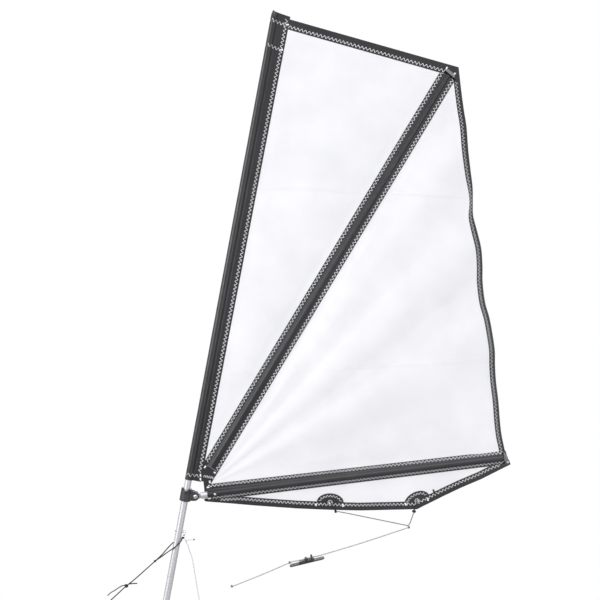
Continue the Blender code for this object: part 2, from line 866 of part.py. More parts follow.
# Tack: a doubled patch below the sprit pocket's mouth, with a tab down to the boom
def build_tack_patch():
    mouth = through(on_sprit(sprit_mouth - seam_gap, 0.0), sprit_aft)
    flange = shift(flange_line, -seam_gap)
    boom_top = shift(boom_top_line, seam_gap)
    tab_front = through(on_boom(tack_tab_start, 0.0), boom_up)
    tab_foot = through(on_boom(0.0, boom_radius + seam_gap), boom_along)
    tab_back = through(on_boom(boom_pocket_start - seam_gap, 0.0), boom_up)
    corner = pivot + aft * tack_tab_beyond_pin + upward * tack_tab_above_pin
    level = through(corner, aft)
    outline = [
        meet(flange, level), corner, meet(tab_front, tab_foot), meet(tab_back, tab_foot),
        meet(tab_back, boom_top), meet(sprit_aft_line, boom_top), meet(sprit_aft_line, mouth),
        meet(flange, mouth)]
    patch = plate(
        "tack_patch", [flat(point) for point in outline], band_thickness, trim("tack_patch"))
    build_rivet("tack_rivet", patch, on_sprit(sprit_mouth - tack_rivet_below_mouth, tack_rivet_aside))


def build_rivet(name, carrier, centre, reach=band_thickness / 2):
    """A through rivet with a dome on both faces of a band."""
    face = reach + seam_gap
    top = face + rivet_head_height
    shoulder = face + rivet_head_height * rivet_dome_share
    dome_edge = rivet_head_radius * dome_edge_share
    dome_top = face + rivet_head_height * dome_top_share
    profile = [
        (0.0, top), (dome_edge, dome_top),
        (rivet_head_radius, shoulder), (rivet_head_radius, face), (rivet_radius, face),
        (rivet_radius, -face), (rivet_head_radius, -face), (rivet_head_radius, -shoulder),
        (dome_edge, -dome_top), (0.0, -top)]
    revolve(name, profile, seat(centre, -across), steel(name), small_sides)
    run = across * (reach + cutter_overrun)
    hole = cylinder(
        name + "_hole", rivet_radius + seam_gap, centre - run, centre + run, sides=small_sides)
    cut(carrier, hole)


# Head: a tape from the luff sleeve to the peak, and the doubled patch at the peak
def build_head():
    flange = shift(flange_line, -seam_gap)
    sprit_side = shift(sprit_fore_line, seam_gap)
    outline = [
        meet(flange, head_top_line), meet(sprit_side, head_top_line), meet(sprit_side, head_low_line),
        meet(flange, head_low_line)]
    plate("head_tape", [flat(point) for point in outline], band_thickness, trim("head_tape"))


def leech_chain():
    """The leech's outer points, closed down to the boom pocket's top edge."""
    edge = leech_edge()
    boom_top = shift(boom_top_line, seam_gap)
    last = meet((edge[-2], edge[-1]), boom_top)
    return edge + [last]


def leech_inner_chain(outer):
    """The tape's inner edge: it starts where the sprit pocket's edge crosses it."""
    inner = offset_path(outer, -leech_tape_width)
    boom_top = shift(boom_top_line, seam_gap)
    inner[0] = meet((inner[0], inner[1]), sprit_aft_line)
    inner[-1] = meet((inner[-2], inner[-1]), boom_top)
    for point, edge in zip(inner, outer):
        point.y = edge.y
    return inner


def build_leech(outer, inner):
    """The leech tape, and above it the peak patch, which meets it in a short seam."""
    patch_seam = outer[0].lerp(outer[1], peak_patch_share)
    cloth("leech_tape", [patch_seam] + outer[1:], inner, 1, band_thickness, trim("leech_tape"))
    slot = through(on_sprit(sprit_band_end + seam_gap, 0.0), sprit_aft)
    gap = (patch_seam - inner[0]).cross(across).normalized() * seam_gap
    if gap.z < 0:
        gap.negate()
    outline = [
        meet(sprit_fore_line, head_top_line), peak, patch_seam + gap,
        meet(slot, (inner[0] + gap, patch_seam + gap)), meet(slot, sprit_fore_line)]
    plate("peak_patch", [flat(point) for point in outline], band_thickness, trim("peak_patch"))


def subdivide(points, count):
    """Even points along a straight stretch."""
    return [points[0].lerp(points[1], step / count) for step in range(count + 1)]


def build_panels(inner):
    """The two panels of white cloth between the bands."""
    flange = shift(flange_line, -seam_gap)
    sprit_side = shift(sprit_fore_line, seam_gap)
    head_low = shift(head_low_line, -seam_gap)
    tip = meet(flange, sprit_side)
    tip_line = through(tip + upward * panel_tip, aft)
    columns = 14
    near = subdivide((meet(flange, tip_line), meet(sprit_side, tip_line)), columns)
    far = subdivide((meet(flange, head_low), meet(sprit_side, head_low)), columns)
    cloth("upper_panel", near, far, 14, cloth_thickness, sailcloth("upper_panel"), belly_share)

    boom_side = shift(boom_top_line, seam_gap)
    sprit_aft_side = shift(sprit_aft_line, -seam_gap)
    apex = meet(boom_side, sprit_aft_side)
    edge = [point - aft * seam_gap for point in inner]
    edge[0] = meet((edge[0], edge[1]), sprit_aft_side)
    edge[-1] = meet((edge[-2], edge[-1]), boom_side)
    share = panel_tip / (edge[-1] - apex).length
    near = [apex + (point - apex) * share for point in edge]
    for point in near:
        point.y = 0.0
    cloth("lower_panel", near, edge, 12, cloth_thickness, sailcloth("lower_panel"), belly_share)


# Foot: a skirt below the boom pocket, edged with tape, with two eyelets for the bridle
def build_foot():
    outer = foot_edge()
    inner = offset_path(outer, foot_tape_width)
    low = shift(boom_low_line, -seam_gap)
    start = next(
        index for index in range(len(inner) - 1)
        if boom_drop_of(inner[index + 1]) > boom_band_drop + seam_gap)
    finish_at = max(
        index for index in range(len(inner) - 1)
        if boom_drop_of(inner[index]) > boom_band_drop + seam_gap)
    front = meet((inner[start], inner[start + 1]), low)
    back = meet((inner[finish_at], inner[finish_at + 1]), low)
    body = inner[start + 1:finish_at + 1]
    front_top = on_boom(foot_front, -boom_band_drop - seam_gap)
    back_top = meet(low, (clew, outer[-2]))
    tape_line = [front_top] + [front] + body + [back] + [back_top]
    below = [point for point in outer if boom_drop_of(point) > boom_band_drop + 2 * seam_gap]
    outline = tape_line + list(reversed(below))
    tape = plate("foot_tape", [flat(point) for point in outline], band_thickness, trim("foot_tape"))
    skirt_outline = [
        meet(low, through(front + boom_along * skirt_tip, boom_up)),
        *[point + boom_up * 2 * seam_gap for point in body],
        meet(low, through(back - boom_along * skirt_tip, boom_up))]
    skirt = plate(
        "foot_skirt", [flat(point) for point in skirt_outline], cloth_thickness, sailcloth("foot_skirt"))
    build_eyelets(inner, tape, skirt)
    build_foot_tab(inner)


def boom_drop_of(point):
    return -(point - pivot).dot(boom_up)


def on_path(points, along):
    """The point of a chain at a distance along the boom, and its direction there."""
    for first, second in zip(points, points[1:]):
        near = (first - pivot).dot(boom_along)
        far = (second - pivot).dot(boom_along)
        if near <= along <= far:
            share = (along - near) / (far - near)
            return first.lerp(second, share), (second - first).normalized()
    raise ValueError("the place lies outside the chain")


def build_eyelets(inner, tape, skirt):
    """Two rings set through the foot, each with a half-moon patch on both faces above it."""
    layer = cloth_front + patch_thickness / 2
    reach = cloth_front + patch_thickness
    face = reach + seam_gap
    top = face + eyelet_flange
    profile = [
        (eyelet_hole + eyelet_flange, top), (eyelet_radius - eyelet_flange, top), (eyelet_radius, face),
        (eyelet_barrel, face), (eyelet_barrel, -face), (eyelet_radius, -face),
        (eyelet_radius - eyelet_flange, -top), (eyelet_hole + eyelet_flange, -top),
        (eyelet_hole, -face), (eyelet_hole, face)]
    holes = []
    patches = []
    for name, share in zip(("fore", "aft"), eyelet_along_shares):
        along = foot_front + (clew_along - foot_front) * share
        seam, run = on_path(inner, along)
        rise = Vector((-run.z, 0.0, run.x))
        centre = seam - rise * eyelet_barrel * eyelet_drop_share
        outline = []
        for step in range(cap_points + 1):
            turn = math.pi * step / cap_points
            outline.append(flat(
                seam + run * patch_radius * math.cos(turn) + rise * patch_height * math.sin(turn)))
        through = across * (reach + cutter_overrun)
        holes.append(cylinder(
            "eyelet_bore_" + name, eyelet_barrel + seam_gap, centre - through, centre + through,
            sides=small_sides))
        for face_name, side in (("near", -1), ("far", 1)):
            label = "half_moon_" + name + "_" + face_name
            patches.append(plate(label, outline, patch_thickness, trim(label), side * layer))
        revolve(
            "eyelet_" + name, profile, seat(centre, -across), steel("eyelet_" + name), small_sides, ring=True)
    for item in patches + [tape, skirt]:
        cut(item, *holes)


def build_foot_tab(inner):
    """A small folded tab on the face of the foot tape."""
    along = foot_front + (clew_along - foot_front) * foot_tab_along_share
    upper, run = on_path(inner, along)
    rise = Vector((-run.z, 0.0, run.x))
    half = run * foot_tab_width / 2
    top = upper + rise * foot_tab_overhang
    low = upper - rise * foot_tab_overhang
    outline = [flat(place) for place in (low - half, low + half, top + half, top - half)]
    layer = cloth_front + tab_thickness / 2
    plate("foot_tab", outline, tab_thickness, trim("foot_tab"), -layer)


# Corner fittings: the clew patch behind the boom pocket, and webbing tabs over the pockets' ends
def build_corners(outer):
    slot = through(on_boom(boom_pocket_end + seam_gap, 0.0), boom_up)
    corner = [
        on_boom(clew_along - clew_round * inset, clew_round * rise - clew_drop)
        for inset, rise in reversed(clew_corner_shares)]
    outline = [
        meet(slot, boom_low_line), on_boom(clew_along, -boom_band_drop), *corner,
        meet((outer[-2], outer[-1]), boom_top_line), meet(slot, boom_top_line)]
    patch = plate("clew_patch", [flat(point) for point in outline], band_thickness, trim("clew_patch"))
    centre = on_boom(clew_along - clew_rivet_inset, clew_rivet_inset - clew_drop)
    build_rivet("clew_rivet", patch, centre)
    layer = -(cloth_front + tab_thickness / 2)
    along = boom_pocket_end + tab_width / 2 + seam_gap
    low = -clew_drop + 2 * clew_rivet_inset
    aft_share, fore_share = clew_tab_shares
    clew_tab = [
        flat(on_boom(along - tab_width / 2, low)), flat(on_boom(along + tab_width / 3, low)),
        flat(on_boom(along + tab_width / 3, low + tab_length * aft_share)),
        flat(on_boom(along - tab_width / 2, low + tab_length * fore_share))]
    plate("clew_tab", clew_tab, tab_thickness, finish("clew_tab", "77777B", 0.7), layer)
    along = sprit_band_end + tab_width
    middle = (sprit_band_fore + sprit_band_aft) / 2
    peak_tab = [
        flat(on_sprit(along + up, middle + side))
        for up, side in (
            (-tab_width / 2, -tab_length / 2), (-tab_width / 2, tab_length / 2),
            (tab_width / 2, tab_length / 3), (tab_width / 2, -tab_length / 2))]
    plate("peak_tab", peak_tab, tab_thickness, finish("peak_tab", "77777B", 0.7), layer)


# Boom rivet: it holds the pocket on the boom near its inner end
def build_boom_rivet(pocket):
    reach = boom_radius + pocket_ease + pocket_wall
    centre = on_boom(boom_pocket_start + boom_rivet_inset, 0.0)
    build_rivet("boom_rivet", pocket, centre, reach)
    hole = bpy.data.objects["boom_rivet_hole"]
    cut(bpy.data.objects["boom_tube"], hole)


# Cords: routes of the taut lines, chosen by hand
black_stay_route = (
    (0.0165, -0.0078, 0.4690), (0.0150, -0.0110, 0.4610), (0.0070, -0.0160, 0.4470),
    (-0.0030, -0.0158, 0.4350), (-0.0140, -0.0108, 0.4230), (-0.0240, -0.0070, 0.4130),
    (-0.0450, -0.0040, 0.3900), (-0.0660, -0.0026, 0.3680), (-0.0980, -0.0018, 0.3270),
    (-0.1300, -0.0010, 0.2860), (-0.1540, 0.0, 0.2580))
strop_route = (
    (0.0165, 0.0078, 0.4690), (0.0145, 0.0112, 0.4650), (0.0060, 0.0160, 0.4570),
    (-0.0040, 0.0158, 0.4510), (-0.0150, 0.0110, 0.4430), (-0.0300, 0.0066, 0.4220),
    (-0.0460, 0.0040, 0.3950), (-0.0660, 0.0026, 0.3680), (-0.0690, 0.0020, 0.3645))
lower_stay_route = (
    (-0.1550, 0.0, 0.2570), (-0.1800, 0.0, 0.2240), (-0.2010, 0.0, 0.1960), (-0.2150, 0.0, 0.1775))
stay_tail_route = (
    (-0.1550, -0.0010, 0.2590), (-0.1630, -0.0035, 0.2585), (-0.1700, -0.0040, 0.2560),
    (-0.1820, -0.0045, 0.2460), (-0.1930, -0.0045, 0.2350), (-0.2060, -0.0050, 0.2240),
    (-0.2160, -0.0060, 0.2110))
light_stay_route = (
    (0.0262, 0.0, 0.4665), (0.0380, 0.0, 0.4520), (0.0530, 0.0, 0.4250), (0.0680, 0.0, 0.3970),
    (0.0925, 0.0, 0.3295), (0.1170, 0.0, 0.2620), (0.1300, 0.0, 0.2262))
light_tail_route = ((0.0340, -0.0045, 0.4630), (0.0450, -0.0050, 0.4690), (0.0595, -0.0045, 0.4722))
bridle_route = (
    (0.5565, 0.0, 0.6686), (0.5800, 0.0, 0.6705), (0.7000, 0.0, 0.6686), (0.8150, 0.0, 0.6664),
    (0.8240, 0.0, 0.6662), (0.8300, 0.0, 0.6690), (0.8340, 0.0, 0.6760), (0.8370, 0.0, 0.6930),
    (0.8410, 0.0, 0.7220))
fore_loop_route = (
    (0.5560, 0.0012, 0.6700), (0.5480, 0.0056, 0.6810), (0.5370, 0.0056, 0.6935), (0.5315, 0.0040, 0.6975),
    (0.5303, 0.0, 0.6982), (0.5315, -0.0040, 0.6975), (0.5370, -0.0056, 0.6935), (0.5480, -0.0056, 0.6810),
    (0.5560, -0.0012, 0.6700))
aft_loop_route = (
    (0.8412, 0.0012, 0.7240), (0.8425, 0.0056, 0.7370), (0.8448, 0.0056, 0.7555), (0.8454, 0.0040, 0.7608),
    (0.8455, 0.0, 0.7620), (0.8454, -0.0040, 0.7608), (0.8448, -0.0056, 0.7555), (0.8425, -0.0056, 0.7370),
    (0.8412, -0.0012, 0.7240))
sheet_route = ((0.8330, 0.0, 0.6606), (0.7760, 0.0, 0.6290), (0.6600, 0.0, 0.5660))
sheet_tail_route = ((0.3400, 0.0, 0.3960), (0.2470, 0.0, 0.3370), (0.2300, 0.0, 0.3272))
ring_knot_centre = (0.0195, 0.0, 0.4710)
stay_knot_centre = (-0.1545, 0.0, 0.2575)
splice_centre = (-0.0670, 0.0, 0.3670)
fore_knot_centre = (0.5560, 0.0, 0.6685)
aft_knot_centre = (0.8412, 0.0, 0.7225)
sheet_knot_centre = (0.8333, 0.0, 0.6608)
end_knot_centre = (0.2290, 0.0, 0.3265)
tail_knot_centre = (0.0603, -0.0045, 0.4724)
black_loop_centre = (-0.2235, 0.0, 0.1665)
light_loop_centre = (0.1350, 0.0, 0.2125)


def knot(name, centre, direction, radius, surface=None, length_share=knot_length_share):
    """An overhand knot pulled tight: an egg of cord with three turns showing as waists."""
    rings = 8
    profile = []
    for step in range(rings + 1):
        turn = math.pi * step / rings
        waist = 1.0 + knot_waist_share * math.cos(4 * turn)
        profile.append((radius * waist * math.sin(turn), radius * length_share * math.cos(turn)))
    profile[0] = (0.0, profile[0][1])
    profile[-1] = (0.0, profile[-1][1])
    return revolve(name, profile, seat(centre, direction), surface, knot_sides)


def cord(name, route, radius, surface=None):
    """A cord's tube as a mesh, so that its knots can be joined to it."""
    return fix_mesh(tube(name, route, radius), surface)


def end_loop(name, centre, direction, radius):
    """The tied loop that a taut line ends in, and its knot."""
    way = Vector(direction).normalized()
    side = Vector((-way.z, 0.0, way.x))
    middle = Vector(centre)
    points = []
    for step in range(loop_points):
        turn = 2 * math.pi * step / loop_points
        reach = way * math.cos(turn) + side * loop_width_share * math.sin(turn)
        points.append(middle + reach * loop_radius)
    loop = fix_mesh(tube(name, points, radius, cyclic=True))
    return loop, knot(name + "_tie", middle - way * loop_radius, way, radius * knot_radius_share)


def build_stays():
    ring_radius = light_stay_radius * knot_radius_share * knot_length_share
    knot(
        "ring_knot", ring_knot_centre, upward, ring_radius, black_cord("ring_knot"), ring_knot_length_share)
    stay = cord("black_stay", black_stay_route, stay_radius, black_cord("black_stay"))
    strop = cord("black_strop", strop_route, stay_radius)
    lower = cord("black_lower", lower_stay_route, stay_radius)
    tail = cord("black_tail", stay_tail_route, stay_radius * stay_tail_share)
    stay_way = Vector(lower_stay_route[-1]) - Vector(lower_stay_route[0])
    tie = knot("stay_knot", stay_knot_centre, stay_way, stay_radius * knot_radius_share)
    splice = knot(
        "stay_splice", splice_centre, stay_way, stay_radius * knot_radius_share,
        length_share=splice_length_share)
    fuse(stay, splice, strop, tie, lower, tail)
    fuse(stay, *end_loop("black_loop", black_loop_centre, stay_way, stay_radius))
    light = cord("light_stay", light_stay_route, light_stay_radius, grey_cord("light_stay"))
    light_way = Vector(light_stay_route[-1]) - Vector(light_stay_route[-2])
    fuse(light, *end_loop("light_loop", light_loop_centre, light_way, light_stay_radius))
    light_tail = cord(
        "light_stay_tail", light_tail_route, light_stay_radius * light_tail_share, grey_cord("light_stay_tail"))
    tail_way = Vector(light_tail_route[-1]) - Vector(light_tail_route[-2])
    tail_knot_radius = light_stay_radius * light_tail_knot_share
    fuse(light_tail, knot("light_tail_knot", tail_knot_centre, tail_way, tail_knot_radius))


def build_bridle():
    radius = bridle_radius
    size = radius * knot_radius_share
    bridle = cord("bridle", bridle_route, radius, grey_cord("bridle"))
    fuse(
        bridle,
        knot("bridle_knot_fore", fore_knot_centre, (1.0, 0.0, 0.4), size),
        knot("bridle_knot_aft", aft_knot_centre, (0.2, 0.0, 1.0), size),
        cord("bridle_loop_fore", fore_loop_route, radius),
        cord("bridle_loop_aft", aft_loop_route, radius))


# Cleat: a cam cleat on a plate that rides on the sheet, with a moulded bridge over the sheet
cleat_place = Matrix.Translation((cleat_centre[0], 0.0, cleat_centre[1]))
cleat_place = cleat_place @ Matrix.Rotation(-cleat_pitch, 4, "Y")
plate_top = cleat_plate_thickness / 2
base_low = plate_top + seam_gap
base_top = base_low + cleat_base_height
sheet_level = base_top + sheet_above_base


def on_cleat(along, aside, above):
    return cleat_place @ Vector((along, aside, above))


def round_ended(length, width, corner, steps=6):
    """A rectangle with round corners, in the cleat's plane."""
    outline = []
    for quarter in range(4):
        x_side = 1 if quarter in (0, 3) else -1
        y_side = 1 if quarter in (0, 1) else -1
        for step in range(steps + 1):
            turn = math.pi / 2 * (quarter + step / steps)
            outline.append((
                x_side * (length / 2 - corner) + corner * math.cos(turn),
                y_side * (width / 2 - corner) + corner * math.sin(turn)))
    return outline


def level_place(above):
    return cleat_place @ Matrix.Translation((0.0, 0.0, above))


def build_cam(name, side):
    """One toothed cam, fuller towards the free end of the sheet, so that a pull from the boom closes it."""
    outline = []
    steps = 40
    for step in range(steps):
        turn = 2 * math.pi * step / steps
        swell = 1.0 + cam_swell_share * math.cos(turn - math.radians(50))
        toothed = turn < math.radians(100) or turn > math.radians(320)
        tooth = cam_tooth_depth * (step % 2) if toothed else cam_tooth_depth / 2
        radius = cam_radius * swell - tooth
        outline.append((-radius * math.sin(turn), -side * radius * math.cos(turn)))
    if side < 0:
        outline.reverse()
    above = base_top + seam_gap + cam_height / 2
    place = cleat_place @ Matrix.Translation((0.0, side * cam_pivot_aside, above))
    cam = flat_solid(name, outline, cam_height, place, black_plastic(name))
    reach = cam_height / 2 + cutter_overrun
    cut(cam, cylinder(
        name + "_bore", cam_bore, on_cleat(0.0, side * cam_pivot_aside, above - reach),
        on_cleat(0.0, side * cam_pivot_aside, above + reach), sides=small_sides))


def build_cleat():
    sheet_plate = flat_solid(
        "cleat_plate", round_ended(cleat_plate_length, cleat_plate_width, cleat_plate_width * plate_corner_share),
        cleat_plate_thickness, level_place(0.0), aluminium("cleat_plate"))
    base = flat_solid(
        "cleat_base", round_ended(cleat_base_length, cleat_base_width, cleat_base_width * base_corner_share),
        cleat_base_height, level_place((base_low + base_top) / 2), black_plastic("cleat_base"))
    head_base = base_top - plate_bolt_height
    bolt_low = -plate_top - plate_bolt_tail
    bolt_profile = [
        (0.0, base_top - seam_gap), (plate_bolt_head, base_top - seam_gap), (cam_screw_radius, head_base),
        (cam_screw_radius, bolt_low), (0.0, bolt_low)]
    for name, along in (("cleat_bolt_fore", cleat_bolt_spacing), ("cleat_bolt_aft", -cleat_bolt_spacing)):
        sink_profile = [
            (0.0, base_top + cutter_overrun), (plate_bolt_head + seam_gap, base_top + cutter_overrun),
            (plate_bolt_head + seam_gap, base_top - seam_gap),
            (cam_screw_radius + seam_gap, head_base - seam_gap),
            (cam_screw_radius + seam_gap, bolt_low - cutter_overrun), (0.0, bolt_low - cutter_overrun)]
        spot = cleat_place @ Matrix.Translation((along, 0.0, 0.0))
        sink = revolve(name + "_sink", sink_profile, spot, sides=small_sides)
        cut(sheet_plate, sink)
        cut(base, sink)
        revolve(name, bolt_profile, spot, steel(name), small_sides)
    cam_top = base_top + 2 * seam_gap + cam_height
    for name, side in (("cam_screw_near", -1), ("cam_screw_far", 1)):
        head_top = cam_top + cam_screw_head_height
        profile = [
            (0.0, head_top), (cam_screw_head * screw_head_share, head_top),
            (cam_screw_head, head_top - cam_screw_head_height / 2), (cam_screw_head, cam_top),
            (cam_screw_radius, cam_top), (cam_screw_radius, base_low + seam_gap), (0.0, base_low + seam_gap)]
        spot = cleat_place @ Matrix.Translation((0.0, side * cam_pivot_aside, 0.0))
        hole = revolve(
            name + "_hole", rod_profile(cam_screw_radius + seam_gap, base_low - cutter_overrun, head_top),
            spot, sides=small_sides)
        cut(base, hole)
        revolve(name, profile, spot, steel(name), small_sides)
    build_cam("cam_near", -1)
    build_cam("cam_far", 1)
    build_fairlead()


def build_fairlead():
    """The moulded bridge over the sheet, ahead of the cams."""
    outline = []
    foot = base_top + seam_gap
    for step in range(11):
        turn = math.pi * step / 10
        outline.append((
            fairlead_span * math.cos(turn), foot + fairlead_wire + fairlead_rise * math.sin(turn)))
    outline = [(fairlead_span, foot)] + outline + [(-fairlead_span, foot)]
    inner_span = fairlead_span - 2 * fairlead_wire
    inner_rise = fairlead_rise - 2 * fairlead_wire
    outline.append((-inner_span, foot))
    for step in range(11):
        turn = math.pi - math.pi * step / 10
        outline.append((
            inner_span * math.cos(turn), foot + fairlead_wire + inner_rise * math.sin(turn)))
    outline.append((inner_span, foot))
    stand = Matrix.Translation((fairlead_along, 0.0, 0.0)) @ Matrix.Rotation(math.pi / 2, 4, "Z")
    stand = cleat_place @ stand @ Matrix.Rotation(math.pi / 2, 4, "X")
    flat_solid("cleat_fairlead", outline, 4 * fairlead_wire, stand, black_plastic("cleat_fairlead"))


def build_sheet():
    half = cleat_plate_length / 2
    run = [on_cleat(half * share, 0.0, sheet_level) for share in (1.0, 0.5, 0.0, -0.5, -0.9)]
    points = [Vector(place) for place in sheet_route] + run + [Vector(place) for place in sheet_tail_route]
    sheet = cord("sheet", points, sheet_radius, grey_cord("sheet"))
    size = sheet_radius * knot_radius_share
    first_way = Vector(sheet_route[1]) - Vector(sheet_route[0])
    last_way = Vector(sheet_tail_route[-1]) - Vector(sheet_tail_route[-2])
    cleat_way = run[-1] - run[0]
    fuse(
        sheet,
        knot("sheet_knot", sheet_knot_centre, first_way, size),
        knot("sheet_stopper", run[-1] + cleat_way.normalized() * size, cleat_way, size),
        knot("sheet_end_knot", end_knot_centre, last_way, size))


def build_sail():
    build_mast()
    build_mast_eye()
    build_gooseneck()
    build_luff_side()
    build_luff_sleeve()
    build_boom()
    build_sprit()
    build_sprit_pocket()
    pocket = build_boom_pocket()
    build_boom_rivet(pocket)
    build_tack_patch()
    build_head()
    outer = leech_chain()
    inner = leech_inner_chain(outer)
    build_leech(outer, inner)
    build_panels(inner)
    build_foot()
    build_corners(outer)
    build_stays()
    build_bridle()
    build_cleat()
    build_sheet()


build_sail()
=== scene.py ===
"""Canoe sail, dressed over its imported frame: spars, sewn cloth, cords and fittings."""
import json
import math

import bmesh
import bpy
from mathutils import Matrix, Vector
from mathutils.bvhtree import BVHTree
from mathutils.noise import noise
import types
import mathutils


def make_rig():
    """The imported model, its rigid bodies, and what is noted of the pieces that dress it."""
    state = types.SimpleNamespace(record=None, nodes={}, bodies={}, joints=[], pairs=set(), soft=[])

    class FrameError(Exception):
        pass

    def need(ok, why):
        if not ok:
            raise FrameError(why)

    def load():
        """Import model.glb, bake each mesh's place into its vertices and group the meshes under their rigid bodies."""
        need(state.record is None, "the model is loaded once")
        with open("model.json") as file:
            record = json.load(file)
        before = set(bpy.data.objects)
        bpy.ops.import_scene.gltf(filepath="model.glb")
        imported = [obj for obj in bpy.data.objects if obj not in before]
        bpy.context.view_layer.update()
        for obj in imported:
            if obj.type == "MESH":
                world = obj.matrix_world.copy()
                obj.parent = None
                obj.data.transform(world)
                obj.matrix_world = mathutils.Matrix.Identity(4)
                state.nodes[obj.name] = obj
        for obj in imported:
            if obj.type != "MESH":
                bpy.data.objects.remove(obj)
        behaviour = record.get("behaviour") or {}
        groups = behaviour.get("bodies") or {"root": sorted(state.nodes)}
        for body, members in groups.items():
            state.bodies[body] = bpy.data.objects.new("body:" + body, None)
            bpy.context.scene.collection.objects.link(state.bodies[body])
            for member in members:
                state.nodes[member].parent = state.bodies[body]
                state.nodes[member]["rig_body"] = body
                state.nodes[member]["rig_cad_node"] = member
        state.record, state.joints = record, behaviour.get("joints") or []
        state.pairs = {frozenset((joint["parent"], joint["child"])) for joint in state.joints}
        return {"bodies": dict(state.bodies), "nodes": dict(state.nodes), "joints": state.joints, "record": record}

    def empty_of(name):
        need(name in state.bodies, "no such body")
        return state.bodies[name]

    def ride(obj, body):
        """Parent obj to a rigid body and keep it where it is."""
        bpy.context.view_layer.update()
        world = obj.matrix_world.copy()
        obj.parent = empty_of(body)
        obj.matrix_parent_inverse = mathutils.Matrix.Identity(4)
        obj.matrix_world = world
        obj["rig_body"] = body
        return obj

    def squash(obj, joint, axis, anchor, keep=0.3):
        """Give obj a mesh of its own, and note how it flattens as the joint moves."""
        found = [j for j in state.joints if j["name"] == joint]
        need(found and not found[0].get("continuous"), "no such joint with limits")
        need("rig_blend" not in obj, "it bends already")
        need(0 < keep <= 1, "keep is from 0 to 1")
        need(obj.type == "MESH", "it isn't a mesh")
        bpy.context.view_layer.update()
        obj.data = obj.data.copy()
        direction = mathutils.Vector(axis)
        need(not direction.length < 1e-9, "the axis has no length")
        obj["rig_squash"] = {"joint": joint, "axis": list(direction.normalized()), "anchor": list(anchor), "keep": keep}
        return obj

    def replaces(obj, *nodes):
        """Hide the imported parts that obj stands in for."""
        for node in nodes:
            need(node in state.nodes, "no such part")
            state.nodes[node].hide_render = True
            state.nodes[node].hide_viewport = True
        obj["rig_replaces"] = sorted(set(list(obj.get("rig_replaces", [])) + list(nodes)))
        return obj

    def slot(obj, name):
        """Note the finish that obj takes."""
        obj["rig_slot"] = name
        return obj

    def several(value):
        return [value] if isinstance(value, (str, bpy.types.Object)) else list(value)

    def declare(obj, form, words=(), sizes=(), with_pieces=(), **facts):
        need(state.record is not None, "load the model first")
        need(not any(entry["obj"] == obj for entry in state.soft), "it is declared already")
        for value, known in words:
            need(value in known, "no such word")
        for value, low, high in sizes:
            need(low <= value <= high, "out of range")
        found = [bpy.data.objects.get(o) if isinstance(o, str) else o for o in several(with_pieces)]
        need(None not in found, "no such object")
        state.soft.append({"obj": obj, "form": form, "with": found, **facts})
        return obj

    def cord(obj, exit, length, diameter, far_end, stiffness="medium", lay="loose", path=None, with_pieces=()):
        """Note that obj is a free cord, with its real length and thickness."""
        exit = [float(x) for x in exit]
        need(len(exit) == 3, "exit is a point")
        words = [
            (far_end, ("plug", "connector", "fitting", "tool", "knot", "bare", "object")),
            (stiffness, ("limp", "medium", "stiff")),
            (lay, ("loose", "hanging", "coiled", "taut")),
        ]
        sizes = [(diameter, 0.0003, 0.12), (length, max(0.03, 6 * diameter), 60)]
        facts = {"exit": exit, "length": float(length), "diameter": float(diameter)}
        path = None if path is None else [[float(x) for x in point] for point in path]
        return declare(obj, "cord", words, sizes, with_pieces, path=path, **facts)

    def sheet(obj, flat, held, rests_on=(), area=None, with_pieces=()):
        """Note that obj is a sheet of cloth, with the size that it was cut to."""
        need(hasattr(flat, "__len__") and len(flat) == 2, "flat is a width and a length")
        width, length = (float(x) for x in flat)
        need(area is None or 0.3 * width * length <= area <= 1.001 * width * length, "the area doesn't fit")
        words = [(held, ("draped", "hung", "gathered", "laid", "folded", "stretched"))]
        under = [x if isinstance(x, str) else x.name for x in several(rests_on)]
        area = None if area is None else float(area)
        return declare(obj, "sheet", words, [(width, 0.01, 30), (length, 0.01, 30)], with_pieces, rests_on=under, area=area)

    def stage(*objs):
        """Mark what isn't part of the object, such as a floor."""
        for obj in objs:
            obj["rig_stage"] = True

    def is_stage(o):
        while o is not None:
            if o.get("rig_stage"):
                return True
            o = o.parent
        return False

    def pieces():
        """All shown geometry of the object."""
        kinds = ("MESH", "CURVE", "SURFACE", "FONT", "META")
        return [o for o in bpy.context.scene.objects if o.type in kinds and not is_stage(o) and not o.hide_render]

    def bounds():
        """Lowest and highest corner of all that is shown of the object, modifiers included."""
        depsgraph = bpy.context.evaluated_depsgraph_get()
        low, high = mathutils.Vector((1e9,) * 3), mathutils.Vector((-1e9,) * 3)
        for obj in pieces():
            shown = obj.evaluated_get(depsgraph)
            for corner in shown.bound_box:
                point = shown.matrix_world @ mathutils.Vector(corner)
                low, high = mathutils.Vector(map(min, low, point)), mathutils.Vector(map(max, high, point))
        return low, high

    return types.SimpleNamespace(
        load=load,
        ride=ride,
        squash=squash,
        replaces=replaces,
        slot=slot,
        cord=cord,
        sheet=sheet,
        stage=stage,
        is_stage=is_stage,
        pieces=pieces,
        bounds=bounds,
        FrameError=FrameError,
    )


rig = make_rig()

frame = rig.load()
nodes = frame["nodes"]
cad_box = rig.bounds()


# Mast: two drawn aluminium tubes, one slid into the other, with a moulded plug in the foot and a cap
# on the top. The tubes are anodised clear, so they are a soft pale grey with fine lines along them.
mm = 0.001
# Real drawing lines and mould grain are finer; both are drawn coarser so that they show
draw_line_spacing = 1.6 * mm
draw_line_depth = 0.1 * mm
draw_line_stretch = 0.01
moulding_grain = 1.2 * mm
moulding_depth = 0.15 * mm
moulding_clouds_a_metre = 60.0


def colour(hex_value):
    """An sRGB hex colour as linear values with full opacity."""
    channels = [int(hex_value[place:place + 2], 16) / 255 for place in (0, 2, 4)]
    line = [c / 12.92 if c <= 0.04045 else ((c + 0.055) / 1.055) ** 2.4 for c in channels]
    return (*line, 1.0)


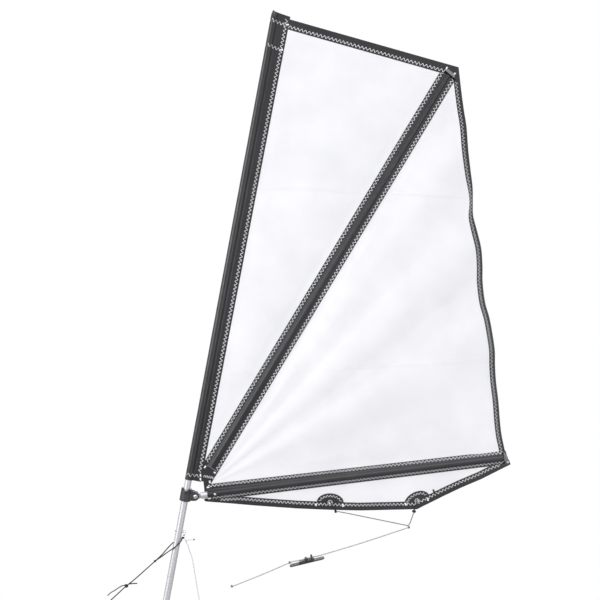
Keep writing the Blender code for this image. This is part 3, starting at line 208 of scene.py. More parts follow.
def feed(surface, node, inputs):
    """Give a node's inputs their values, or link them to other nodes' outputs."""
    for key, value in inputs.items():
        if isinstance(value, bpy.types.NodeSocket):
            surface.node_tree.links.new(value, node.inputs[key])
        else:
            node.inputs[key].default_value = value


def add(surface, kind, inputs=(), settings=(), take="Fac", stops=()):
    """Add a node with its inputs, settings and colour stops, and return the output to take, or its first."""
    node = surface.node_tree.nodes.new("ShaderNode" + kind)
    for key, value in dict(settings).items():
        setattr(node, key, value)
    feed(surface, node, dict(inputs))
    if stops:
        for point, (position, hex_value) in zip(node.color_ramp.elements, stops):
            point.position = position
            point.color = colour(hex_value)
    return node.outputs.get(take, node.outputs[0])


def begin(name, coordinates="Object"):
    """A new material, and the coordinates that its patterns lie in."""
    surface = bpy.data.materials.new(name)
    surface.use_nodes = True
    return surface, add(surface, "TexCoord", take=coordinates)


def finish(surface, tone, stops, relief, inputs):
    """Colour a material over a tone, raise it by a relief, and give its shader its other inputs."""
    inputs = {**inputs, "Base Color": add(surface, "ValToRGB", {"Fac": tone}, stops=stops)}
    if relief:
        inputs["Normal"] = add(surface, "Bump", zip(("Height", "Strength", "Distance", "Normal"), relief))
    feed(surface, surface.node_tree.nodes["Principled BSDF"], inputs)
    return surface


def roughened(surface, value, smoothest, roughest):
    """A roughness that follows a noise, whose values lie mostly between 0.3 and 0.7."""
    return add(surface, "MapRange", {
        "Value": value, "From Min": 0.3, "From Max": 0.7, "To Min": smoothest, "To Max": roughest})


def anodised_tube(name, lean, dark="C4C4C9", pale="DEDEE2"):
    """Anodised aluminium, drawn along a tube or bar that leans from upright towards +X."""
    surface, place = begin(name)
    turned = add(surface, "Mapping", {"Vector": place, "Rotation": (0.0, -lean, 0.0)})
    drawn = add(surface, "Mapping", {"Vector": turned, "Scale": (1.0, 1.0, draw_line_stretch)})
    lines = add(surface, "TexNoise", {"Vector": drawn, "Scale": 1 / draw_line_spacing, "Detail": 3.0})
    return finish(
        surface, lines, ((0.3, dark), (0.7, pale)), (lines, 0.05, draw_line_depth),
        {"Metallic": 1.0, "Roughness": roughened(surface, lines, 0.5, 0.56)})


def moulded_nylon(name, dark, pale):
    """Black nylon from a spark-eroded mould: an even, faintly grained, half-matt skin."""
    surface, place = begin(name)
    grain = add(surface, "TexNoise", {"Vector": place, "Scale": 1 / moulding_grain, "Detail": 2.0})
    cloudy = add(surface, "TexNoise", {"Vector": place, "Scale": moulding_clouds_a_metre, "Detail": 2.0})
    return finish(
        surface, cloudy, ((0.35, dark), (0.65, pale)), (grain, 0.35, moulding_depth),
        {"Roughness": 0.46, "IOR": 1.53})


def paint(surface, *names):
    """Give CAD nodes a finish."""
    for name in names:
        nodes[name].data.materials.clear()
        nodes[name].data.materials.append(surface)


mast_alloy = anodised_tube("anodised_aluminium_mast", 0.0)
nylon = moulded_nylon("moulded_nylon", "29292C", "35353A")
paint(mast_alloy, "mast_lower_tube", "mast_upper_tube")
paint(nylon, "mast_stop_ring", "mast_foot_plug", "mast_top_cap")


# Gooseneck: a moulded nylon collar that turns on the mast, with a fork for the boom's tongue. A polished
# stainless pin with a domed head goes through the fork, two washers and a nut, and the boom folds on it.
# Real polishing scratches are finer; they are drawn coarser so that they show
polish_scratch = 0.8 * mm


def polished_steel(name):
    """Stainless steel, turned and polished: bright, with faint fine scratches."""
    surface, place = begin(name)
    scratch = add(surface, "TexNoise", {"Vector": place, "Scale": 1 / polish_scratch, "Detail": 4.0})
    return finish(
        surface, scratch, ((0.3, "CFCFD2"), (0.7, "DEDEE0")), None,
        {"Metallic": 1.0, "Roughness": roughened(surface, scratch, 0.14, 0.28)})


steel = polished_steel("polished_stainless_steel")
grey_nylon = moulded_nylon("worn_grey_nylon", "242427", "3A3A3E")
paint(grey_nylon, "gooseneck_collar")
paint(steel, "gooseneck_pin", "gooseneck_washer_near", "gooseneck_washer_far", "gooseneck_nut")


# Boom and sprit: drawn aluminium tubes. The boom has a cast tongue in its inner end, where the tube is
# slit, and both spars have moulded caps. They fold about the gooseneck pin, which is the pivot here.
boom_rise = math.radians(17.5)
sprit_lean = math.radians(20.65)
across = Vector((0.0, 1.0, 0.0))


def in_plane(aft_mm, up_mm):
    """A point of the sail's plane, from its places aft and up in millimetres."""
    return Vector((aft_mm * mm, 0.0, up_mm * mm))


def slanted(angle):
    """A direction in the sail's plane, turned up from straight aft."""
    return Vector((math.cos(angle), 0.0, math.sin(angle)))


def left_of(way):
    """The direction that lies square to the left of another in the sail's plane, seen from the near side."""
    return Vector((-way.z, 0.0, way.x))


pivot = in_plane(37.5, 631.0)
boom_along = slanted(boom_rise)
boom_up = left_of(boom_along)
sprit_along = slanted(math.pi / 2 - sprit_lean)
sprit_aft = slanted(-sprit_lean)

boom_alloy = anodised_tube("anodised_aluminium_boom", math.pi / 2 - boom_rise)
sprit_alloy = anodised_tube("anodised_aluminium_sprit", sprit_lean)
paint(boom_alloy, "boom_tube", "boom_end_fitting")
paint(sprit_alloy, "sprit_tube")
paint(nylon, "boom_end_plug", "sprit_heel_cap", "sprit_peak_cap")


def on_boom(along, up, depth=0.0):
    return pivot + boom_along * along + boom_up * up + across * depth


def on_sprit(along, aside, depth=0.0):
    return pivot + sprit_along * along + sprit_aft * aside + across * depth


def boom_points(*places):
    """Points from their places along and above the boom, in millimetres."""
    return [on_boom(along * mm, up * mm) for along, up in places]


def sprit_points(*places):
    """Points from their places along and aft of the sprit, in millimetres."""
    return [on_sprit(along * mm, aside * mm) for along, aside in places]


# Folding of the cloth: luff, sprit and boom are the sides of two wedges from the pivot. Each wedge of cloth
# is parted at its middle line, and each half goes with its own spar and gathers towards it as they close.
boom_turn = math.radians(52.0)
sprit_turn = math.radians(18.0)
lower_angle = math.pi / 2 - sprit_lean - boom_rise
upper_keep = math.tan((sprit_lean - sprit_turn) / 2) / math.tan(sprit_lean / 2)
lower_keep = math.tan((lower_angle - boom_turn + sprit_turn) / 2) / math.tan(lower_angle / 2)
upper_side = slanted(-sprit_lean / 2)
lower_side = slanted(-sprit_lean - lower_angle / 2)
aft = Vector((1.0, 0.0, 0.0))
# Each region: its name, its body, the planes through the pivot that bound it, and how it gathers
regions = (
    ("still", "luff", (-aft,), None, None, None),
    ("luff", "luff", (aft, -upper_side), "sprit_fold", aft, upper_keep),
    ("sprit_fore", "sprit", (upper_side, -sprit_aft), "sprit_fold", sprit_aft, upper_keep),
    ("sprit_aft", "sprit", (sprit_aft, -lower_side), "boom_fold", sprit_aft, lower_keep),
    ("boom_top", "boom", (lower_side, boom_up), "boom_fold", boom_up, lower_keep),
    ("boom", "boom", (-boom_up, aft), None, None, None),
)
same_place = 0.001 * mm
sharp_edge = math.radians(40)


def cut_off(work, place, normal, **limits):
    """Cut a mesh by a plane and drop what lies on the side that the normal points to."""
    bmesh.ops.bisect_plane(
        work, geom=work.verts[:] + work.edges[:] + work.faces[:], plane_co=place, plane_no=normal,
        clear_outer=True, **limits)


def thicken(work, thickness):
    """Turn a sheet into a closed solid, half its thickness to each side of it."""
    store = work.verts.layers.float_vector["facing"]
    front = list(work.verts)
    faces = list(work.faces)
    rims = [edge for edge in work.edges if edge.is_boundary]
    back = {}
    for vert in front:
        facing = vert[store].normalized()
        twin = work.verts.new(vert.co - facing * thickness / 2)
        twin[store] = -facing
        vert.co += facing * thickness / 2
        vert[store] = facing
        back[vert] = twin
    for face in faces:
        work.faces.new([back[vert] for vert in reversed(face.verts)]).smooth = True
    for edge in rims:
        first, second = edge.verts
        if edge.link_loops[0].vert != first:
            first, second = second, first
        work.faces.new((second, first, back[first], back[second]))


def store_facing(work):
    """Keep each point's facing, so that the parted halves still shade as one cloth."""
    store = work.verts.layers.float_vector.new("facing")
    work.normal_update()
    for vert in work.verts:
        vert[store] = vert.normal


def place_in_scene(name, data):
    item = bpy.data.objects.new(name, data)
    bpy.context.scene.collection.objects.link(item)
    return item


def finish_mesh(work, name, surface):
    """Make an object of a mesh, shaded smooth but for its sharp edges."""
    mesh = bpy.data.meshes.new(name)
    work.to_mesh(mesh)
    work.free()
    mesh.materials.append(surface)
    mesh.shade_smooth()
    mesh.set_sharp_from_angle(angle=sharp_edge)
    facing = mesh.attributes.get("facing")
    if facing:
        mesh.normals_split_custom_set_from_vertices([entry.vector for entry in facing.data])
    return place_in_scene(name, mesh)


def dress(item, body, material_slot, stands_for=None):
    """Say which body a piece goes with, its slot, and the CAD node that it stands for."""
    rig.ride(item, body)
    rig.slot(item, material_slot)
    if stands_for:
        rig.replaces(item, stands_for)
    return item


def part_out(name, work, surface, material_slot, thickness=0.0, stands_for=None):
    """Part a sheet, or a solid when no thickness is given, among the regions that it crosses."""
    made = {}
    if thickness:
        store_facing(work)
    for title, body, sides, joint, axis, keep in regions:
        piece = work.copy()
        for normal in sides:
            cut_off(piece, pivot, -normal, dist=same_place)
        if not piece.faces:
            piece.free()
            continue
        if thickness:
            thicken(piece, thickness)
        else:
            bmesh.ops.holes_fill(piece, edges=[edge for edge in piece.edges if edge.is_boundary], sides=0)
        item = finish_mesh(piece, name + "_" + title, surface)
        dress(item, body, material_slot, stands_for)
        if joint:
            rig.squash(item, joint, tuple(axis), tuple(pivot), keep)
        made[title] = item
    work.free()
    return made


# Sail panels: white coated polyester sailcloth, woven close and calendered flat, so it is smooth and soft in
# its gloss with a faint crinkle. Three cloths run across, lapped and sewn, and a belly is cut into them.
thread_spacing = 1.5 * mm
thread_height = 0.2 * mm
sailcloth_crinkle = 0.9 * mm
crinkles_a_metre = 26.0
blotches_a_metre = 7.0
# The scale at which one band of Blender's wave texture takes a metre
band_scale = 0.314
sailcloth_weight = 0.4 * mm
band_thickness = 1.6 * mm
tuck = 5.0 * mm
belly_share = 0.026
flange_foot = in_plane(46.2, 686.0)
flange_head = in_plane(58.3, 2445.5)
flange_line = (flange_foot, flange_head)
sprit_centre = -7.3 * mm
sprit_band_half = 31.5 * mm
sprit_mouth = 121.5 * mm
sprit_band_end = 1813.8 * mm
sprit_fore_line, sprit_aft_line = (
    tuple(on_sprit(along, sprit_centre + aside) for along in (sprit_mouth, sprit_band_end))
    for aside in (-sprit_band_half, sprit_band_half))
boom_pocket_start = 44.0 * mm
boom_pocket_end = 1144.6 * mm
boom_rise_fore = 38.0 * mm
boom_rise_aft = 28.5 * mm
boom_drop = 23.2 * mm
boom_top_line = (on_boom(boom_pocket_start, boom_rise_fore), on_boom(boom_pocket_end, boom_rise_aft))
boom_low_line = (on_boom(boom_pocket_start, -boom_drop), on_boom(boom_pocket_end, -boom_drop))
peak = in_plane(703.8, 2367.2)
clew_along = 1169.2 * mm
clew = on_boom(clew_along, -25.6 * mm)
head_top_line = (in_plane(58.3, 2427.5), peak)
head_tape_width = 38.0 * mm
edge_ease = 40.0 * mm
upper_reach = 0.5
lower_reach = 1.25
tip_rise = in_plane(0.0, 2.0)
apex_share = 0.004
upper_columns = 64
upper_rows = 190
lower_columns = 150
lower_rows = 120


def woven(name, dark, pale, roughness, relief, crinkle_depth, gloss, sheen):
    """Plain-woven polyester: threads cross at right angles, over a slow crinkle."""
    surface, place = begin(name)
    # Real threads lie about 0.3 mm apart; they are drawn coarser so that they show
    warp, weft = (
        add(surface, "TexWave", {
            "Vector": place, "Scale": band_scale / thread_spacing, "Distortion": 0.4, "Detail": 1.0},
            {"bands_direction": direction}) for direction in ("X", "Z"))
    weave = add(surface, "Math", {0: warp, 1: weft}, {"operation": "MULTIPLY"})
    crinkle = add(surface, "TexNoise", {
        "Vector": place, "Scale": crinkles_a_metre, "Detail": 5.0, "Roughness": 0.62, "Distortion": 0.6})
    blotch = add(surface, "TexNoise", {"Vector": place, "Scale": blotches_a_metre, "Detail": 4.0})
    tone = add(surface, "Math", {0: weave, 1: 0.18, 2: blotch}, {"operation": "MULTIPLY_ADD"})
    fine = add(surface, "Bump", {"Height": weave, "Strength": relief, "Distance": thread_height})
    return finish(surface, tone, ((0.35, dark), (0.75, pale)), (crinkle, 0.5, crinkle_depth, fine), {
        "Roughness": roughness, "IOR": 1.5, "Specular IOR Level": gloss, "Sheen Weight": sheen,
        "Sheen Roughness": 0.4})


sailcloth = woven("coated_white_sailcloth", "E1E1E5", "E9E9EC", 0.5, 0.25, sailcloth_crinkle, 0.4, 0.1)


def meet(first, second):
    """The crossing of two lines, each given as two points in the sail's plane."""
    start, run = first[0], first[1] - first[0]
    other, way = second[0], second[1] - second[0]
    gap = other - start
    share = (gap.x * way.z - gap.z * way.x) / (run.x * way.z - run.z * way.x)
    return start + run * share


def direction_of(line):
    return (line[1] - line[0]).normalized()


def shift(line, offset):
    """A line moved to the left of its own direction."""
    side = left_of(direction_of(line)) * offset
    return (line[0] + side, line[1] + side)


head_low_line = shift(head_top_line, -head_tape_width)


def smooth_chain(points, steps):
    """A smooth curve through points, with that many steps for each span."""
    path = []
    count = len(points)
    for index in range(count - 1):
        before = points[max(index - 1, 0)]
        start, end = points[index], points[index + 1]
        after = points[min(index + 2, count - 1)]
        for step in range(steps):
            t = step / steps
            path.append(0.5 * (
                2 * start + (end - before) * t + (2 * before - 5 * start + 4 * end - after) * t ** 2
                + (3 * start - before - 3 * end + after) * t ** 3))
    path.append(points[-1].copy())
    return path


def even_chain(points, count):
    """Points at even distances along a chain."""
    lengths = [0.0]
    for first, second in zip(points, points[1:]):
        lengths.append(lengths[-1] + (second - first).length)
    result = []
    index = 0
    for step in range(count + 1):
        wanted = lengths[-1] * step / count
        while index < len(points) - 2 and lengths[index + 1] < wanted:
            index += 1
        span = lengths[index + 1] - lengths[index]
        result.append(points[index].lerp(points[index + 1], (wanted - lengths[index]) / span))
    return result


def run_at(points, index):
    """A chain's direction at one of its points."""
    return points[min(index + 1, len(points) - 1)] - points[max(index - 1, 0)]


def flat_run(points, index):
    """A chain's direction at one of its points, in the sail's plane."""
    run = run_at(points, index)
    run.y = 0.0
    return run.normalized()


def offset_chain(points, offset):
    """A chain moved to its left, point by point."""
    return [point + left_of(flat_run(points, index)) * offset for index, point in enumerate(points)]


def sheet_between(near, far, rows, shape=None):
    """A sheet ruled between two rails of equally many points; shape(u, v, point) may move its points."""
    work = bmesh.new()
    grid = []
    last = len(near) - 1
    for row in range(rows + 1):
        v = row / rows
        line = []
        for index, (a, b) in enumerate(zip(near, far)):
            point = a.lerp(b, v)
            if shape:
                shape(index / last, v, point)
            line.append(work.verts.new(point))
        grid.append(line)
    for row, after in zip(grid, grid[1:]):
        for index in range(last):
            work.faces.new((row[index], row[index + 1], after[index + 1], after[index])).smooth = True
    return work


def ease(gap, reach):
    """A share that grows softly from 0 at an edge to 1 at some distance from it."""
    share = min(max(gap / reach, 0.0), 1.0)
    return share * share * (3 - 2 * share)


# Leech: the free edge from peak to clew, which flutters in and out a little and from side to side. Its tape
# shows whole near the peak, and narrower where the edge curls over.
leech_shares = (
    (0.000, 0.0000), (0.060, 0.0008), (0.110, 0.0006), (0.150, -0.0002), (0.205, 0.0030),
    (0.260, 0.0036), (0.300, 0.0035), (0.335, 0.0075), (0.370, 0.0120), (0.400, 0.0092),
    (0.430, 0.0056), (0.460, 0.0032), (0.500, 0.0052), (0.540, 0.0096), (0.590, 0.0101),
    (0.630, 0.0050), (0.670, 0.0032), (0.712, 0.0026), (0.750, 0.0064), (0.790, 0.0088),
    (0.840, 0.0094), (0.890, 0.0124), (0.925, 0.0128), (0.955, 0.0105),
)
leech_ripple = 6.0 * mm
leech_tape_width = 24.0 * mm
leech_tape_share = 0.88
leech_curl = 1885.0 * mm
leech_curl_reach = 55.0 * mm
leech_curl_share = 0.42
leech_full_reach = 250.0 * mm
leech_end_drop = 4.0 * mm


def leech_inset(points, share, less=0.0):
    """The leech's chain moved in by a share of its tape, full near the peak and narrow where it curls."""
    moved = []
    for point, away in zip(points, offset_chain(points, -1.0)):
        curl = math.exp(-((point.z - leech_curl) / leech_curl_reach) ** 2)
        full = share + (1 - leech_tape_share) * ease(point.z - leech_curl, leech_full_reach)
        width = leech_tape_width * full * (1 - leech_curl_share * curl)
        moved.append(point + (away - point) * (width - less))
    return moved


leech_chord = clew - peak
leech_points = []
for along_share, inset_share in leech_shares:
    point = peak + leech_chord * along_share - left_of(leech_chord) * inset_share
    point.y = leech_ripple * math.sin(math.pi * along_share) * math.sin(8 * math.pi * along_share)
    leech_points.append(point)
leech_points.append(meet((leech_points[-2], leech_points[-1]), shift(boom_top_line, -leech_end_drop)))
leech_outer = smooth_chain(leech_points, 8)


# The two cloths between their spars: each is ruled between two rails, then creased and bellied
def wrinkle(point, strength):
    """How far soft creases, which fan from the tack, and a slow unevenness move the cloth there."""
    from_tack = point - pivot
    reach = from_tack.length
    angle = math.atan2(from_tack.x, from_tack.z)
    fan = noise(Vector((angle * 9.0, reach * 1.3, 4.0))) * min(reach / 0.6, 1.0)
    slow = noise(Vector((point.x * 6.0, point.z * 6.0, 9.0)))
    fine = noise(Vector((point.x * 17.0, point.z * 11.0, 2.0)))
    return strength * (1.3 * fan + 0.6 * slow + 0.5 * fine) * mm


def dome(u, v):
    """A share that is 0 at a sheet's edges and 1 at its middle."""
    return math.sin(math.pi * u) * math.sin(math.pi * v)


def beyond(line, point):
    """How far a point lies to the right of a line."""
    return -(point - line[0]).dot(left_of(direction_of(line)))


def upper_shape(u, v, point):
    gap = min(beyond(flange_line, point), -beyond(sprit_fore_line, point), beyond(head_low_line, point))
    change = wrinkle(point, 1.0) - belly_share * upper_reach * v * dome(u, v)
    point.y += change * ease(gap, edge_ease)


def across_upper(line):
    """A rail of the upper cloth along a line, from under the luff's flange to under the sprit's band."""
    return even_chain([meet(under_flange, line), meet(under_sprit_fore, line)], upper_columns)


under_flange = shift(flange_line, tuck)
under_sprit_fore = shift(sprit_fore_line, -tuck)
upper_tip = meet(under_flange, under_sprit_fore) + tip_rise
tip_line = (upper_tip, upper_tip + aft * mm)
upper_work = sheet_between(
    across_upper(tip_line), across_upper(shift(head_low_line, tuck)), upper_rows, upper_shape)


def lower_shape(u, v, point):
    reach = lower_reach * v
    gap = min(beyond(sprit_aft_line, point), -beyond(boom_top_line, point), lower_reach - reach - tuck)
    change = wrinkle(point, 1.3) - belly_share * reach * dome(u, v)
    point.y += change * ease(gap, edge_ease)


under_boom_top = shift(boom_top_line, -tuck)
under_sprit_aft = shift(sprit_aft_line, tuck)
lower_apex = meet(under_boom_top, under_sprit_aft)
rail = leech_inset(leech_outer, leech_tape_share, tuck)
rail = [point for point in rail if (point - pivot).dot(sprit_aft) > sprit_centre + sprit_band_half - tuck]
rail = [point for point in rail if (point - boom_top_line[0]).dot(boom_up) > -tuck]
rail = [meet((rail[0], rail[1]), under_sprit_aft)] + rail + [meet((rail[-2], rail[-1]), under_boom_top)]
lower_far = even_chain(rail, lower_columns)
lower_near = [lower_apex + (point - lower_apex) * apex_share for point in lower_far]
for point in lower_near:
    point.y = 0.0
lower_work = sheet_between(lower_near, lower_far, lower_rows, lower_shape)

upper_panel = part_out("upper_panel", upper_work, sailcloth, "sailcloth", sailcloth_weight, "upper_panel")
lower_panel = part_out("lower_panel", lower_work, sailcloth, "sailcloth", sailcloth_weight, "lower_panel")


# Luff sleeve: charcoal polyester wrapped round the mast and sewn to itself in a flat flange behind it.
# It is open at the foot, turned in and sewn across there, and sewn shut across the top.
trim_crinkle = 0.4 * mm
trim = woven("charcoal_polyester", "19181C", "252429", 0.34, 0.6, trim_crinkle, 0.6, 0.03)
sleeve_foot = 686.0 * mm
sleeve_top = 2445.5 * mm
sleeve_top_slope = -0.147
sleeve_close = 20.0 * mm
sleeve_bore_end = 30.0 * mm
sleeve_flat_start = 18.0 * mm
# Where the sleeve's top is sewn shut: how much thinner and shorter it gets, and how far its front drops
close_thin = 0.72
close_short = 0.33
close_drop = 0.24
luff_radius = 14.0 * mm
luff_bore = 13.1 * mm
luff_bore_taper = 0.9 * mm
luff_reach = 21.0 * mm
luff_taper = 0.05
luff_swell = 0.025
luff_steps = 180
flange_steps = 170
flange_lap = 1.5 * mm
sway_depth = 0.45 * mm
flat_depth = 0.05 * mm


def wrap_side(radius, reach, sweep):
    """Points from a sleeve's flange up to where the cloth touches the spar, on one face."""
    half = band_thickness / 2
    touch = Vector((radius * math.cos(sweep), radius * math.sin(sweep)))
    drop = (touch.y - half) / math.cos(sweep)
    knee = Vector((touch.x + drop * math.sin(sweep), half))
    edge = Vector((reach, half))
    return [edge.lerp(knee, t).lerp(knee.lerp(touch, t), t) for t in (0.0, 0.25, 0.5, 0.75)]


def wrap_section(radius, left, right, sweep=math.radians(30)):
    """A sleeve's outline round a spar: (aside, depth) points, with a flat end on each flanged side."""
    steps = 14
    top = [tuple(point) for point in wrap_side(radius, right, sweep)]
    end = math.pi - sweep if left else math.pi
    for step in range(steps + 1):
        turn = sweep + (end - sweep) * step / steps
        top.append((radius * math.cos(turn), radius * math.sin(turn)))
    if left:
        top += [(-point.x, point.y) for point in reversed(wrap_side(radius, left, sweep))]
    else:
        top.pop()
        top.append((-radius, 0.0))
    return top + [(aside, -depth) for aside, depth in reversed(top) if depth > flat_depth]


def band(work, row, after, smooth=True):
    """Join two rings of equally many points by faces."""
    faces = []
    for index in range(len(row)):
        turn = (index + 1) % len(row)
        faces.append(work.faces.new((row[index], row[turn], after[turn], after[index])))
        faces[-1].smooth = smooth
    return faces


def sleeve_shell(outer, inner):
    """A closed sleeve, from its outer rings and its bore's: open at the first ring, shut at the last."""
    work = bmesh.new()
    sets = [[[work.verts.new(point) for point in ring] for ring in rings] for rings in (outer, inner)]
    for rings in sets:
        for row, after in zip(rings, rings[1:]):
            band(work, row, after)
    band(work, sets[0][0], sets[1][0], False)
    work.faces.new(sets[0][-1])
    work.faces.new(sets[1][-1])
    bmesh.ops.recalc_face_normals(work, faces=work.faces)
    bmesh.ops.triangulate(work, faces=[face for face in work.faces if len(face.verts) > 4])
    return work


def bore_ring(section, radius):
    return [(radius * math.cos(turn), radius * math.sin(turn))
            for turn in (math.atan2(depth, aside) for aside, depth in section)]


def sway(along):
    """How far a band of doubled cloth stands to one side of the sail's plane."""
    return sway_depth * noise(Vector((along * 7.0, 3.0, 0.0)))


luff_outer = []
luff_inner = []
for station in range(luff_steps + 1):
    share = station / luff_steps
    height = sleeve_foot + (sleeve_top - sleeve_foot) * share
    radius = luff_radius * (1.0 - luff_taper * share)
    radius *= 1.0 + luff_swell * noise(Vector((height * 11.0, 0.0, 5.0)))
    squeeze = max(0.0, (height - (sleeve_top - sleeve_close)) / sleeve_close) ** 2
    section = wrap_section(radius, None, luff_reach)
    ring = []
    for aside, depth in section:
        lift = sleeve_top_slope * aside * share
        if aside < sleeve_flat_start:
            depth *= 1.0 - close_thin * squeeze
        if aside < 0:
            lift -= close_drop * aside * squeeze
            aside *= 1.0 - close_short * squeeze
        ring.append(Vector((aside, depth, height + lift)))
    luff_outer.append(ring)
    if height < sleeve_top - sleeve_bore_end:
        bore = luff_bore - luff_bore_taper * share
        luff_inner.append([Vector((aside, depth, height)) for aside, depth in bore_ring(section, bore)])
luff_sleeve = finish_mesh(sleeve_shell(luff_outer, luff_inner), "luff_sleeve_round", trim)
dress(luff_sleeve, "luff", "trim_cloth", "luff_sleeve")


def sway_band(scale):
    def shape(u, v, point):
        point.y += sway(point.z + point.x) * scale(u, v)
    return shape


def trim_out(name, work, stands_for, thickness=band_thickness):
    """Part a band or patch of trim cloth among the regions."""
    return part_out(name, work, trim, "trim_cloth", thickness, stands_for)


flange_start = luff_reach - flange_lap
flange_near = even_chain([
    Vector((flange_start, 0.0, sleeve_foot)),
    Vector((flange_start, 0.0, sleeve_top + sleeve_top_slope * flange_start))], flange_steps)
flange_top = flange_head + Vector((0.0, 0.0, sleeve_top_slope * flange_head.x))
flange_far = even_chain([flange_foot, flange_top], flange_steps)
luff_flange = trim_out(
    "luff_flange", sheet_between(flange_near, flange_far, 5, sway_band(lambda u, v: v)), "luff_sleeve")


# Head tape and leech tape: charcoal polyester folded over the cloth's raw edge and sewn through with one
# row. The leech's is cut narrower, and both end in the peak patch.
head_near, head_far = (
    even_chain([meet(flange_line, line), meet(sprit_fore_line, line)], 60)
    for line in (head_top_line, head_low_line))
head_tape = trim_out(
    "head_tape", sheet_between(head_near, head_far, 3, sway_band(lambda u, v: math.sin(math.pi * u))),
    "head_tape")

peak_patch_drop = 16.0 * mm
leech_band = [point for point in leech_outer if point.z < peak.z - peak_patch_drop]
leech_tape = trim_out(
    "leech_tape", sheet_between(leech_band, leech_inset(leech_band, leech_tape_share), 3), "leech_tape")


# Spar pockets: the same cloth wrapped round the sprit and round the boom, laid flat to both sides and sewn
# down along each edge with one zigzag row. Each pocket is shut at its outer end.
pocket_close = 8.0 * mm
pocket_swell = 0.03
sprit_steps = 150
boom_steps = 100
sprit_radius = 9.5 * mm
sprit_bore = 8.6 * mm
sprit_reach = 14.5 * mm
boom_radius = 14.0 * mm
boom_bore = 13.1 * mm
boom_reach_top = 21.0 * mm
boom_reach_low = 19.0 * mm


def pocket(name, body, place, radius, bore, reaches, start, end, count, stands_for):
    """The round part of a pocket, which goes with its spar; it reaches that far to either side."""
    outer = []
    inner = []
    for station in range(count + 1):
        along = start + (end - start) * station / count
        swell = 1.0 + pocket_swell * noise(Vector((along * 12.0, 7.0, radius * 900.0)))
        section = wrap_section(radius * swell, *reaches)
        outer.append([place(along, aside, depth + sway(along)) for aside, depth in section])
        if along < end - pocket_close:
            inner.append([place(along, aside, depth) for aside, depth in bore_ring(section, bore)])
    item = finish_mesh(sleeve_shell(outer, inner), name, trim)
    return dress(item, body, "trim_cloth", stands_for)


def in_sprit_pocket(along, aside, depth):
    return on_sprit(along, aside + sprit_centre, depth)


def in_boom_pocket(along, aside, depth):
    return on_boom(along, -aside, depth)


sprit_round = pocket(
    "sprit_pocket_round", "sprit", in_sprit_pocket, sprit_radius, sprit_bore, (sprit_reach, sprit_reach),
    sprit_mouth, sprit_band_end, sprit_steps, "sprit_pocket")
boom_round = pocket(
    "boom_pocket_round", "boom", in_boom_pocket, boom_radius, boom_bore, (boom_reach_top, boom_reach_low),
    boom_pocket_start, boom_pocket_end, boom_steps, "boom_pocket")


def strip(place, near, start_far, end_far, start, end, count):
    """A band's flat side, from one distance aside to another that may change along it."""
    first = []
    second = []
    for step in range(count + 1):
        share = step / count
        along = start + (end - start) * share
        first.append(place(along, near, sway(along)))
        second.append(place(along, start_far + (end_far - start_far) * share, sway(along)))
    return sheet_between(first, second, 3)


def sprit_strip(side):
    return strip(
        in_sprit_pocket, side * sprit_reach, side * sprit_band_half, side * sprit_band_half,
        sprit_mouth, sprit_band_end, sprit_steps)


def boom_strip(near, start_far, end_far):
    return strip(
        in_boom_pocket, near, start_far, end_far, boom_pocket_start, boom_pocket_end, boom_steps)


fore_strip = sprit_strip(-1)
# What would lie over the luff sleeve's flange is trimmed
cut_off(fore_strip, flange_foot, left_of(direction_of(flange_line)))
sprit_fore_band = trim_out("sprit_band_fore", fore_strip, "sprit_pocket")
sprit_aft_band = trim_out("sprit_band_aft", sprit_strip(1), "sprit_pocket")
boom_top_band = trim_out(
    "boom_band_top", boom_strip(-boom_reach_top, -boom_rise_fore, -boom_rise_aft), "boom_pocket")
boom_low_band = trim_out("boom_band_low", boom_strip(boom_reach_low, boom_drop, boom_drop), "boom_pocket")


# Corner patches: doubled charcoal cloth at the tack, the peak and the clew, cut to the corner, turned in
# and sewn down. Bright stainless rivets go through the tack, the boom pocket and the clew.
patch_cell = 9.0 * mm
end_gap = 0.3 * mm


def patch_from(outline, cell=patch_cell):
    """A flat sheet of an outline in the sail's plane, cut into cells so that it can bend."""
    work = bmesh.new()
    work.faces.new([work.verts.new(point) for point in outline])
    low = Vector((min(p.x for p in outline), 0.0, min(p.z for p in outline)))
    high = Vector((max(p.x for p in outline), 0.0, max(p.z for p in outline)))
    for axis in (aft, Vector((0.0, 0.0, 1.0))):
        for step in range(1, int((high - low).dot(axis) / cell) + 1):
            bmesh.ops.bisect_plane(
                work, geom=work.verts[:] + work.edges[:] + work.faces[:],
                plane_co=low + axis * step * cell, plane_no=axis)
    for face in work.faces:
        face.smooth = True
    return work


def unit_line(origin, direction):
    return (origin, origin + direction * mm)


mouth_line = unit_line(on_sprit(sprit_mouth, 0.0), sprit_aft)
tab_front = unit_line(*boom_points((33.5, 0.0)), boom_up)
tab_back = unit_line(on_boom(boom_pocket_start, 0.0), boom_up)
tab_foot = unit_line(*boom_points((0.0, 12.8)), boom_along)
tack_corner = in_plane(55.3, 688.7)
tack_patch = trim_out("tack_patch", patch_from([
    meet(flange_line, unit_line(tack_corner, aft)), tack_corner, meet(tab_front, tab_foot),
    meet(tab_back, tab_foot), meet(tab_back, boom_top_line), meet(sprit_aft_line, boom_top_line),
    meet(sprit_aft_line, mouth_line), meet(flange_line, mouth_line)]), "tack_patch")

foot_corner = trim_out("foot_corner", patch_from([
    *boom_points((30, -13.6), (28.6, -16.5), (29.6, -20), (31.6, -23), (34.5, -24.4)),
    boom_low_line[0], *boom_points((44, -13.6))]), "foot_tape")

